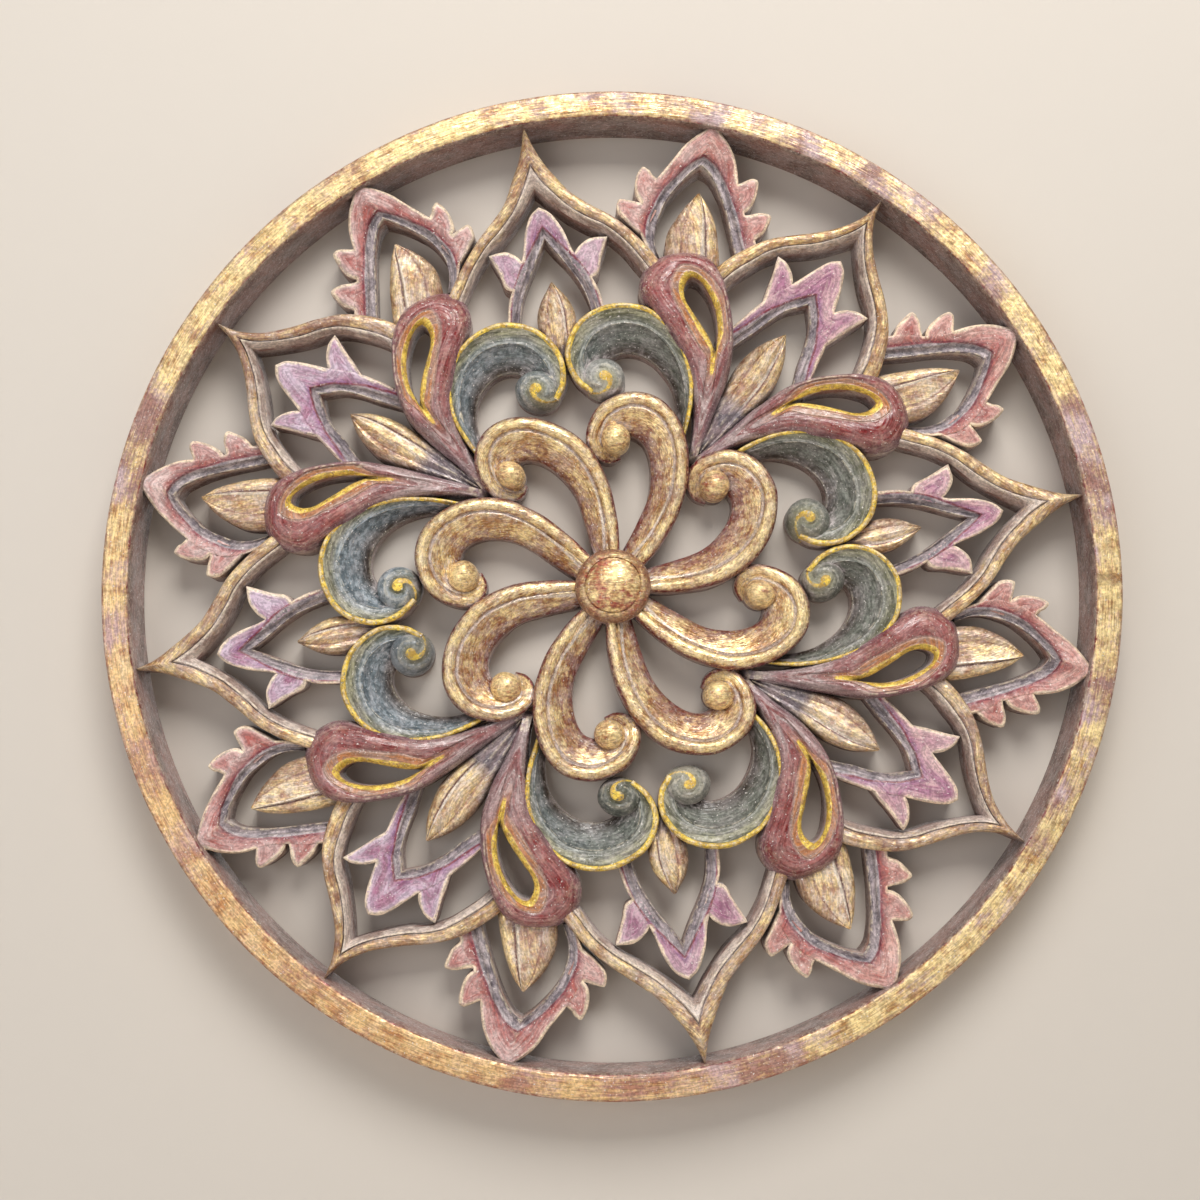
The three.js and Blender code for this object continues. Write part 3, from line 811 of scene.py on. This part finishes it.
# %% Join the shells
def joined(name):
    """All shells as one closed mesh."""
    whole, *rest = list(shell_box.objects)
    shell_box.objects.unlink(whole)
    bpy.context.scene.collection.objects.link(whole)
    union = whole.modifiers.new("one piece", "BOOLEAN")
    union.operation = "UNION"
    union.solver = "MANIFOLD"
    union.operand_type = "COLLECTION"
    union.collection = shell_box
    union.material_mode = "TRANSFER"
    view = bpy.context.evaluated_depsgraph_get()
    result = whole.evaluated_get(view)
    mesh = bpy.data.meshes.new_from_object(result, preserve_all_data_layers=True, depsgraph=view)
    for shell in (whole, *rest):
        bpy.data.objects.remove(shell)
    bpy.data.collections.remove(shell_box)
    mesh.name = name
    piece = bpy.data.objects.new(name, mesh)
    bpy.context.scene.collection.objects.link(piece)
    return piece


panel = joined("carved_panel_fine")
triangles = sum(len(polygon.vertices) - 2 for polygon in panel.data.polygons)
print("one piece:", len(panel.data.vertices), "points,", triangles, "triangles")

# %% [markdown]
# ## The carver's hand
# No two arms of the real panel are quite alike: a knife wanders by half a millimetre and no face
# is quite flat. A slow, smooth noise moves every point of the skin a little, less near the ring,
# so the arms still meet it. Blender's vector noise starts from the clock unless it is given a seed,
# so one is set first. The arrises are then marked sharp, so that only curved faces shade softly.

# %% Hand-cut unevenness
WAVE_SEED = 7
SLOW_WAVES, SLOW_SIDE, SLOW_LIFT = 22, 0.0011, 0.0006
QUICK_WAVES, QUICK_SIDE, QUICK_LIFT = 90, 0.00028, 0.00022
FIRM_AT, FIRM_OVER, FIRM_SHARE = 0.19, 0.03, 0.12
FULL_LIFT_FROM = 0.012
ARRIS = math.radians(34)


def uneven(piece):
    """Moves the skin sideways and out of the wall by slow and quick waves; the back stays flat."""
    mesh = piece.data
    points = np.empty(len(mesh.vertices) * 3, np.float32)
    mesh.vertices.foreach_get("co", points)
    points = points.reshape(-1, 3)
    slow = np.array([noise.noise_vector(Vector(p) * SLOW_WAVES) for p in points])
    quick = np.array([noise.noise_vector(Vector(p) * QUICK_WAVES + Vector((7, 3, 1))) for p in points])
    reach = np.hypot(points[:, 0], points[:, 2])
    loose = np.clip((FIRM_AT - reach) / FIRM_OVER, FIRM_SHARE, 1)[:, None]
    moved = (slow * (SLOW_SIDE, 0, SLOW_SIDE) + quick * (QUICK_SIDE, 0, QUICK_SIDE)) * loose
    height = np.clip(-points[:, 1] / FULL_LIFT_FROM, 0, 1)
    lift = (slow[:, 1] * SLOW_LIFT * loose[:, 0] + quick[:, 1] * QUICK_LIFT) * height
    points = points + moved
    points[:, 1] += lift
    points[:, 1] = np.clip(points[:, 1], -PLANK / 1000, 0)
    mesh.vertices.foreach_set("co", points.astype(np.float32).ravel())
    mesh.update()
    mesh.shade_smooth()
    mesh.set_sharp_from_angle(angle=ARRIS)


noise.seed_set(WAVE_SEED)
uneven(panel)
print("box after the hand work:", [round(v * 1000, 1) for v in panel.dimensions])

# %% [markdown]
# ## Where wash settles and shade is painted
# Thin wash settles where a finger can't reach. From every point of the skin a few short feelers
# go out, and the share that meets nothing within four millimetres is kept as a note, "hollow":
# one on open faces and less the deeper a point lies. The paints lay wash by it and paint shade, with some
# grime, into the deepest hollows.

# %% Hollows
def note_hollows(piece, reach=0.004, feelers=20, off_skin=0.00008):
    """Writes the open share of every point's surroundings on the mesh and returns it."""
    mesh = piece.data
    tree = BVHTree.FromPolygons([v.co for v in mesh.vertices], [p.vertices for p in mesh.polygons])
    turn = np.arange(feelers) * math.pi * (3 - math.sqrt(5))
    out = np.sqrt((np.arange(feelers) + 0.5) / feelers)
    ways = np.stack([out * np.cos(turn), out * np.sin(turn), np.sqrt(1 - out ** 2)], -1)
    spread = [Vector(way) for way in ways]
    open_share = np.empty(len(mesh.vertices), np.float32)
    for i, vertex in enumerate(mesh.vertices):
        upright = vertex.normal.to_track_quat("Z", "Y").to_matrix()
        start = vertex.co + vertex.normal * off_skin
        met = sum(tree.ray_cast(start, upright @ way, reach)[0] is not None for way in spread)
        open_share[i] = 1 - met / feelers
    mesh.attributes.new("hollow", "FLOAT", "POINT").data.foreach_set("value", open_share)
    return open_share


open_share = note_hollows(panel)
print("open share, deepest twentieth, quarter and half:", np.quantile(open_share, [0.05, 0.25, 0.5]).round(2))

# %% [markdown]
# ## Shared paint effects
# The panel was painted in flat colours, lined by hand, washed with thin grey paint that stayed in
# the hollows, and rubbed with gold that caught on the high faces. The wash group also paints shade
# and some grime into the deepest hollows and a pale highlight on sharp edges. Each of these is one
# node group, made once and used in every paint with its own amounts, so the whole panel ages alike.

# %% Node group helper
def group(name, inputs, outputs):
    """A node group with named sockets; returns its tree, its inputs and a function that fills an output."""
    tree = bpy.data.node_groups.new(name, "ShaderNodeTree")
    kinds = {"value": "NodeSocketFloat", "colour": "NodeSocketColor", "vector": "NodeSocketVector"}
    for label, kind in inputs:
        tree.interface.new_socket(label, in_out="INPUT", socket_type=kinds[kind])
    for label, kind in outputs:
        tree.interface.new_socket(label, in_out="OUTPUT", socket_type=kinds[kind])
    start, end = tree.nodes.new("NodeGroupInput"), tree.nodes.new("NodeGroupOutput")
    return tree, start.outputs, lambda label, socket: tree.links.new(socket, end.inputs[label])


def use(tree, name, **sockets):
    """Places a node group in a material; the sockets are named with _ for a space."""
    filled = {label.replace("_", " "): value for label, value in sockets.items()}
    return put(tree, "ShaderNodeGroup", filled, node_tree=bpy.data.node_groups[name]).outputs


def panel_place(tree, stretch=(1, 1, 1)):
    """Where a point lies on the panel, in metres, drawn out along an axis by a small stretch value."""
    spot = put(tree, "ShaderNodeTexCoord").outputs["Object"]
    return put(tree, "ShaderNodeMapping", {"Vector": spot, "Scale": stretch}).outputs[0]


def panel_axes(tree):
    """The same place as three values: right, into the wall and up."""
    return put(tree, "ShaderNodeSeparateXYZ", {0: panel_place(tree)}).outputs


def across_panel(tree, left, right, at_left, at_right):
    """A value that changes smoothly from the panel's left to its right."""
    return ramp(panel_axes(tree)[0], left, right, at_left, at_right)


# %% Painted line
labels = ("Distance", "Centre", "Half Width", "Blur", "Wander")
tree, given, fill = group("painted line", [(label, "value") for label in labels], [("Mask", "value")])
spot = panel_place(tree)
drift = times(minus(speckle(spot, 160, 2), 0.5), given["Wander"])
away = calc("ABSOLUTE", plus(minus(given["Distance"], given["Centre"]), drift))
outside = minus(away, given["Half Width"])
painted = minus(1.0, calc("DIVIDE", outside, given["Blur"], True), True)
worn = ramp(speckle(spot, 900, 2, 0.7), 0.3, 0.46)
fill("Mask", times(painted, worn))

# %% Gold rub
tree, given, fill = group("gold rub", [("Under", "colour"), ("Amount", "value"), ("Pale", "value"),
                                       ("Stroke", "vector")], [("Color", "colour"), ("Gold", "value")])
spot = panel_place(tree)
broad = speckle(spot, 60, 1)
dry = speckle(given["Stroke"], 1.0, 2, 0.65)
fine = speckle(spot, 520, 2, 0.7)
high = total((broad, 0.25), (dry, 0.45), (fine, 0.3))
level = ramp(given["Amount"], 0.0, 1.0, 0.66, 0.37)
rubbed = put(tree, "ShaderNodeMapRange", {"Value": high, "From Min": minus(level, 0.1),
                                          "From Max": plus(level, 0.1)}).outputs[0]
tone = total((speckle(given["Stroke"], 1.9, 1, 0.75), 0.36), (speckle(spot, 130, 3, 0.7), 0.64))
tone = ramp(plus(tone, given["Pale"]), 0.41, 0.63)
gold = mix(tone, (172, 122, 72), (252, 222, 158))
fill("Color", mix(rubbed, given["Under"], gold))
fill("Gold", rubbed)

# %% Wash, grime and painted shade in the hollows, pale edges with a painted highlight
tree, given, fill = group("grey wash, painted shade and highlight", [("Paint", "colour"), ("Amount", "value"), ("Stroke", "vector")],
                          [("Color", "colour")])
spot = panel_place(tree)
hollow = put(tree, "ShaderNodeAttribute", attribute_name="hollow").outputs["Fac"]
dip = ramp(hollow, 0.55, 0.97, 1.0, 0.3)
deep = ramp(hollow, 0.22, 0.68, 1.0, 0.0)
milky = ramp(speckle(spot, 150, 3, 0.7), 0.43, 0.62)
scrub = ramp(speckle(given["Stroke"], 1.7, 2, 0.75), 0.5, 0.65)
veil = total((milky, 0.55), (scrub, 0.5))
veil = times(times(veil, dip), given["Amount"], True)
washed = mix(veil, given["Paint"], (214, 202, 200))
# Pale cream on sharp convex edges, fading towards the wall: dry-brushed wear, partly a painted highlight.
crest = ramp(put(tree, "ShaderNodeNewGeometry").outputs["Pointiness"], 0.51, 0.56)
crest = times(crest, ramp(speckle(spot, 420, 1, 0.7), 0.4, 0.6))
from_wall = times(put(tree, "ShaderNodeSeparateXYZ", {0: spot}).outputs[1], -1.0)
crest = times(crest, ramp(from_wall, 0.005, 0.012, 0.0, 0.5))
washed = mix(crest, washed, (244, 228, 196))
# The deepest hollows turn dark brown: partly grime, partly painted shade where little light reaches.
grime_and_painted_shade = mix(times(deep, 0.72), washed, (58, 44, 42))
grit = total((speckle(given["Stroke"], 2.6, 1, 0.75), 0.5), (speckle(spot, 950, 1, 0.75), 0.5))
shade = ramp(grit, 0.4, 0.6, 0.72, 1.18)
shade = put(tree, "ShaderNodeCombineXYZ", {0: shade, 1: shade, 2: shade}).outputs[0]
shaded = mix(1.0, grime_and_painted_shade, shade, "MULTIPLY")
fleck = ramp(speckle(spot, 1250, 1, 0.5), 0.68, 0.75)
fill("Color", mix(times(fleck, 0.75), shaded, (236, 228, 220)))

# %% Carved surface
tree, given, fill = group("carved surface", [("Stroke", "vector")], [("Height", "value")])
grain = speckle(panel_place(tree, (0.15, 1, 1)), 900, 0)
hatch = speckle(given["Stroke"], 1.8, 1, 0.7)
tool = speckle(panel_place(tree), 230, 1, 0.5)
fill("Height", total((grain, 0.3), (hatch, 0.7), (tool, 1.1)))
print("node groups:", [g.name for g in bpy.data.node_groups])

# %% [markdown]
# ## The paints
# Every paint reads the carve notes: how far along the arm a point lies, how near it is to the
# first edge and how far from the second. Lines and bands are set by these, then the shared
# effects go over them: gold where a cloth would rub it, thin grey paint with painted shade in the
# deepest hollows, flecks, and a little relief.

# %% A paint's start and end
Notes = namedtuple("Notes", "along near far share mood")


def begin(name, stroke_along, stroke_across, slant=0.0, from_edge=False):
    """Reads the carve notes. Strokes are given per millimetre along and across the arm, with their slant."""
    tree = materials[name].node_tree
    carve = put(tree, "ShaderNodeAttribute", attribute_name="carve").outputs["Vector"]
    along, near, far = put(tree, "ShaderNodeSeparateXYZ", {0: carve}).outputs
    mood = put(tree, "ShaderNodeAttribute", attribute_name="mood").outputs["Fac"]
    share = calc("DIVIDE", near, plus(near, plus(far, 0.001)))
    across = near if from_edge else far
    slanted = total((along, stroke_along), (across, slant))
    stroke = put(tree, "ShaderNodeCombineXYZ", {0: slanted, 1: times(across, stroke_across),
                                                2: times(mood, 40.0)}).outputs[0]
    return tree, Notes(along, near, far, share, mood), stroke


def end(colour, wash, stroke, rough, gold=None):
    """Lays the wash, with its painted shade and highlight, over the colour and fills the shader; gold is
    where the paint shines as metal.
    """
    tree = tree_of(colour)
    shader = tree.nodes["Principled BSDF"]
    colour = use(tree, "grey wash, painted shade and highlight", Paint=colour, Amount=wash, Stroke=stroke)["Color"]
    tree.links.new(colour, shader.inputs["Base Color"])
    patchy = speckle(panel_place(tree), 500, 1)
    tree.links.new(ramp(patchy, 0.35, 0.65, rough - 0.14, rough + 0.14), shader.inputs["Roughness"])
    if gold is not None:
        tree.links.new(times(gold, 0.45), shader.inputs["Metallic"])
    height = use(tree, "carved surface", Stroke=stroke)["Height"]
    bump = put(tree, "ShaderNodeBump", {"Height": height, "Distance": 0.00034, "Strength": 1.0})
    tree.links.new(bump.outputs[0], shader.inputs["Normal"])


def line(distance, centre, half, blur=0.25, wander=0.5):
    """The mask of a hand-painted line at some distance from an edge."""
    return use(tree_of(distance), "painted line", Distance=distance, Centre=centre, Half_Width=half,
               Blur=blur, Wander=wander)["Mask"]


def lined(colour, paint, strength, *where):
    """A colour with one painted line on it; where is the line's distance, centre, half width and so on."""
    return mix(times(line(*where), strength), colour, paint)


def patches(tree, first, second, scale):
    """Two colours in soft patches."""
    return mix(ramp(speckle(panel_place(tree), scale, 3, 0.65), 0.42, 0.58), first, second)


def dragged(stroke, first, second, scale=1.0):
    """Two colours pulled into each other along the brush strokes."""
    return mix(ramp(speckle(stroke, scale, 3, 0.7), 0.43, 0.58), first, second)


# %% Ring
tree, note, stroke = begin("ring_gold", 0.06, 0.7, 0.04)
under = patches(tree, (150, 108, 96), (188, 160, 162), 36)
amount = ramp(speckle(panel_place(tree), 21, 3), 0.36, 0.6, 0.34, 0.98)
amount = times(amount, ramp(note.near, -18.0, -1.0, 0.6, 1.0))
rub = use(tree, "gold rub", Under=under, Amount=amount, Pale=0.06, Stroke=stroke)
axes = panel_axes(tree)
low_left = total((axes[0], -1.0), (axes[2], -1.3))
warm = times(ramp(low_left, 0.1, 0.28), 0.36)
colour = mix(warm, rub["Color"], (196, 128, 84))
colour = lined(colour, (128, 40, 42), 1.0, note.far, 0.0, 0.5, 0.6, 2.2)
colour = lined(colour, (140, 70, 54), 0.7, note.near, 0.0, 0.6, 0.7, 2.2)
end(colour, 0.6, stroke, rough=0.44, gold=rub["Gold"])

# %% Whirl scrolls
tree, note, stroke = begin("whirl_gold", 0.2, 0.95, 0.3)
under = patches(tree, (132, 76, 54), (188, 150, 122), 260)
under = mix(times(ramp(note.share, 0.7, 0.98), 0.85), under, (106, 58, 48))
rim = ramp(note.near, 4.6, 5.8, 1.0, 0.0)
flute = ramp(note.share, 0.45, 0.95, 0.78, 0.38)
amount = calc("MAXIMUM", times(rim, 0.8), flute)
amount = plus(amount, times(minus(note.mood, 0.5), 0.3))
rub = use(tree, "gold rub", Under=under, Amount=amount, Pale=times(rim, 0.06), Stroke=stroke)
colour = lined(rub["Color"], (118, 36, 38), 1.0, note.near, 0.0, 0.7, 0.9, 2.0)
colour = lined(colour, (112, 40, 40), 0.7, note.far, 0.0, 0.5, 1.0, 1.6)
colour = lined(colour, (222, 208, 196), 0.8, note.near, 6.2, 0.35, 0.45)
colour = lined(colour, (112, 78, 64), 0.4, note.near, 5.6, 0.15, 0.25)
end(colour, across_panel(tree, -0.06, 0.05, 1.3, 0.75), stroke, rough=0.36, gold=rub["Gold"])

# %% Boss and balls
tree, note = begin("boss_gold", 0.22, 0.4, 0.2)[:2]
under = patches(tree, (150, 34, 42), (140, 92, 66), 70)
brushed = panel_place(tree, (180, 400, 620))
rub = use(tree, "gold rub", Under=under, Amount=ramp(note.near, 5.0, 8.0, 0.72, 0.62),
          Pale=ramp(note.near, 5.0, 8.0, 0.1, 0.01), Stroke=brushed)
colour = lined(rub["Color"], (98, 66, 48), 0.45, note.near, 10.85, 0.15, 0.3, 0.9)
colour = lined(colour, (146, 100, 74), 1.0, note.near, 14.8, 1.2, 1.4, 2.4)
end(colour, 0.3, brushed, rough=0.42, gold=rub["Gold"])

# %% Green scrolls
tree, note, stroke = begin("green_trough", 0.1, 0.5, 0.05)
olive = dragged(stroke, (94, 92, 68), (156, 152, 124))
slate = mix(0.55, dragged(stroke, (76, 78, 68), (132, 134, 124), 1.6),
            patches(tree, (84, 86, 76), (128, 130, 120), 420))
slate = mix(across_panel(tree, -0.09, 0.03, 0.75, 0.0), slate,
            patches(tree, (96, 110, 120), (150, 162, 172), 300))
slate = mix(ramp(note.share, 0.6, 0.96), slate, (52, 38, 28))
colour = mix(ramp(note.share, 0.2, 0.4), olive, slate)
colour = lined(colour, (190, 188, 176), 0.4, note.share, 0.375, 0.008, 0.02, 0.03)
colour = lined(colour, (144, 134, 122), 0.35, note.share, 0.99, 0.02, 0.04, 0.03)
yellow = patches(tree, (238, 202, 78), (196, 156, 56), 300)
stripe = line(note.near, 1.05, 1.05, 0.25, 0.4)
colour = mix(stripe, colour, yellow)
wash = minus(0.8, times(stripe, 0.65))
end(colour, wash, stroke, rough=0.44)

# %% Drops
tree, note, stroke = begin("drop_maroon", 6.0, 0.5, 0.05)
maroon = mix(0.5, dragged(stroke, (120, 30, 30), (168, 112, 106), 1.2),
             patches(tree, (116, 30, 30), (150, 88, 86), 110))
tail = dragged(stroke, (176, 156, 152), (134, 84, 82), 0.8)
maroon = mix(ramp(note.along, 0.3, 0.66, 0.85, 0.0), maroon, tail)
violet = mix(times(ramp(note.far, 0.4, 3.8, 1.0, 0.0), 0.65), maroon, (128, 106, 114))
rust = dragged(stroke, (180, 116, 70), (164, 124, 104))
inner = times(ramp(note.near, 0.39, 0.47, 1.0, 0.0), ramp(note.along, 0.3, 0.5))
colour = mix(inner, violet, rust)
lip = times(line(note.near, 0.425, 0.02, 0.04, 0.03), ramp(note.along, 0.4, 0.6, 0.0, 0.4))
colour = mix(lip, colour, (192, 176, 166))
stripe = line(note.near, 0.1, 0.095, 0.025, 0.03)
colour = mix(stripe, colour, patches(tree, (244, 212, 100), (208, 170, 72), 300))
wash = minus(0.55, times(stripe, 0.45))
end(colour, wash, stroke, rough=0.3)

# %% Arches
tree, note, stroke = begin("arch_gold", 0.12, 0.6, 0.1)
under = patches(tree, (140, 98, 78), (192, 170, 156), 60)
grey = patches(tree, (166, 142, 130), (214, 196, 182), 80)
band = ramp(note.share, 0.6, 0.68, 1.0, 0.0)
amount = total((band, 0.45), (note.mood, 0.22))
rub = use(tree, "gold rub", Under=mix(band, grey, under), Amount=amount, Pale=0.01, Stroke=stroke)
colour = lined(rub["Color"], (84, 66, 60), 0.7, note.share, 0.66, 0.01, 0.03, 0.05)
colour = lined(colour, (216, 200, 186), 0.8, note.share, 0.74, 0.03, 0.04, 0.06)
end(colour, 0.7, stroke, rough=0.46, gold=rub["Gold"])


# %% Leaves
def leaf_paint(name, pale, cool, strong, stain):
    """A leaf: cool on the panel's left, stained towards its groove, lined, with a cream edge."""
    tree, note, stroke = begin(name, 0.1, 0.5, 0.06, True)
    pale = mix(across_panel(tree, -0.1, 0.12, 1.0, 0.0), pale, cool)
    face = mix(0.5, dragged(stroke, pale, strong, 0.7), patches(tree, pale, strong, 90))
    face = mix(times(ramp(note.near, 1.0, 3.6, 1.0, 0.0), 0.5), face, pale)
    inner = times(ramp(note.far, 4.6, 8.6, 1.0, 0.0), 0.85)
    face = mix(inner, face, dragged(stroke, stain, strong, 1.4))
    slate = patches(tree, (130, 120, 126), (178, 164, 166), 220)
    colour = mix(ramp(note.far, 3.8, 4.6, 1.0, 0.0), face, slate)
    colour = lined(colour, (126, 52, 62), 1.0, note.far, 4.7, 0.2, 0.4, 1.0)
    colour = lined(colour, (70, 64, 70), 0.4, note.far, 2.9, 0.25, 0.4, 0.8)
    colour = lined(colour, (150, 136, 130), 0.15, note.far, 0.4, 0.4, 0.5, 0.8)
    colour = mix(ramp(note.far, 0.3, 1.6, 0.4, 0.0), colour, (92, 82, 84))
    cream = line(note.near, 0.1, 0.6, 0.8, 2.6)
    colour = mix(times(cream, 0.8), colour, (242, 222, 188))
    end(colour, 0.75, stroke, rough=0.5)


leaf_paint("mauve_leaf", pale=(206, 166, 166), cool=(196, 174, 190), strong=(158, 102, 128),
           stain=(128, 74, 124))
leaf_paint("pink_leaf", pale=(206, 162, 150), cool=(204, 174, 168), strong=(166, 90, 82),
           stain=(134, 58, 62))

# %% Buds
tree, note, stroke = begin("bud_gold", 0.14, 0.55, 0.08)
middle = patches(tree, (170, 128, 106), (220, 200, 180), 120)
edge = calc("MINIMUM", note.near, note.far)
rub = use(tree, "gold rub", Under=middle, Amount=ramp(edge, 1.0, 4.4, 0.68, 0.5), Pale=0.05, Stroke=stroke)
colour = lined(rub["Color"], (104, 60, 52), 1.0, note.share, 0.735, 0.012, 0.03, 0.03)
colour = lined(colour, (230, 216, 198), 1.0, note.share, 0.69, 0.012, 0.03, 0.02)
colour = lined(colour, (132, 84, 70), 0.7, note.share, 0.28, 0.008, 0.03, 0.05)
# Darker towards the bud's first edge: a brown band with painted shade on that side.
colour = mix(ramp(note.share, 0.1, 0.34, 0.62, 0.0), colour, (136, 94, 82))
stalk = patches(tree, (112, 102, 108), (152, 134, 136), 120)
colour = mix(ramp(note.along, -5.0, 3.0, 1.0, 0.0), colour, stalk)
end(colour, 0.75, stroke, rough=0.46, gold=rub["Gold"])

# %% Sides and back
tree = materials["side_wash_and_shade"].node_tree
height = times(panel_axes(tree)[1], -1.0)
# The sides darken towards the back of the plank as painted shade deep in the piercings, and turn paler near
# the front under thin grey paint.
painted_shade_at_back = patches(tree, (104, 76, 64), (150, 126, 116), 60)
upper = patches(tree, (190, 172, 164), (150, 104, 92), 90)
colour = mix(ramp(height, 0.004, 0.014), painted_shade_at_back, upper)
# The ring's inner side turns darker brown, as painted shade.
reach = put(tree, "ShaderNodeVectorMath", {0: panel_place(tree, (1, 0, 1))},
            operation="LENGTH").outputs["Value"]
colour = mix(ramp(reach, 0.183, 0.187, 0.0, 0.75), colour,
             patches(tree, (100, 74, 62), (136, 98, 86), 60))
end(colour, 0.6, panel_place(tree, (300, 900, 300)), rough=0.56)

tree = materials["bare_back"].node_tree
grain = speckle(panel_place(tree, (0.06, 1, 1)), 420, 5, 0.6)
wood = mix(ramp(grain, 0.35, 0.65), (96, 66, 44), (146, 108, 74))
stain = ramp(speckle(panel_place(tree), 26, 4), 0.5, 0.7)
colour = mix(times(stain, 0.5), wood, (84, 60, 48))
end(colour, 0.12, panel_place(tree, (60, 600, 600)), rough=0.7)
print("paints:", [name for name in PAINTS if materials[name].node_tree])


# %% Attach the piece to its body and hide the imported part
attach(panel, "root")
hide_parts("carved_panel")
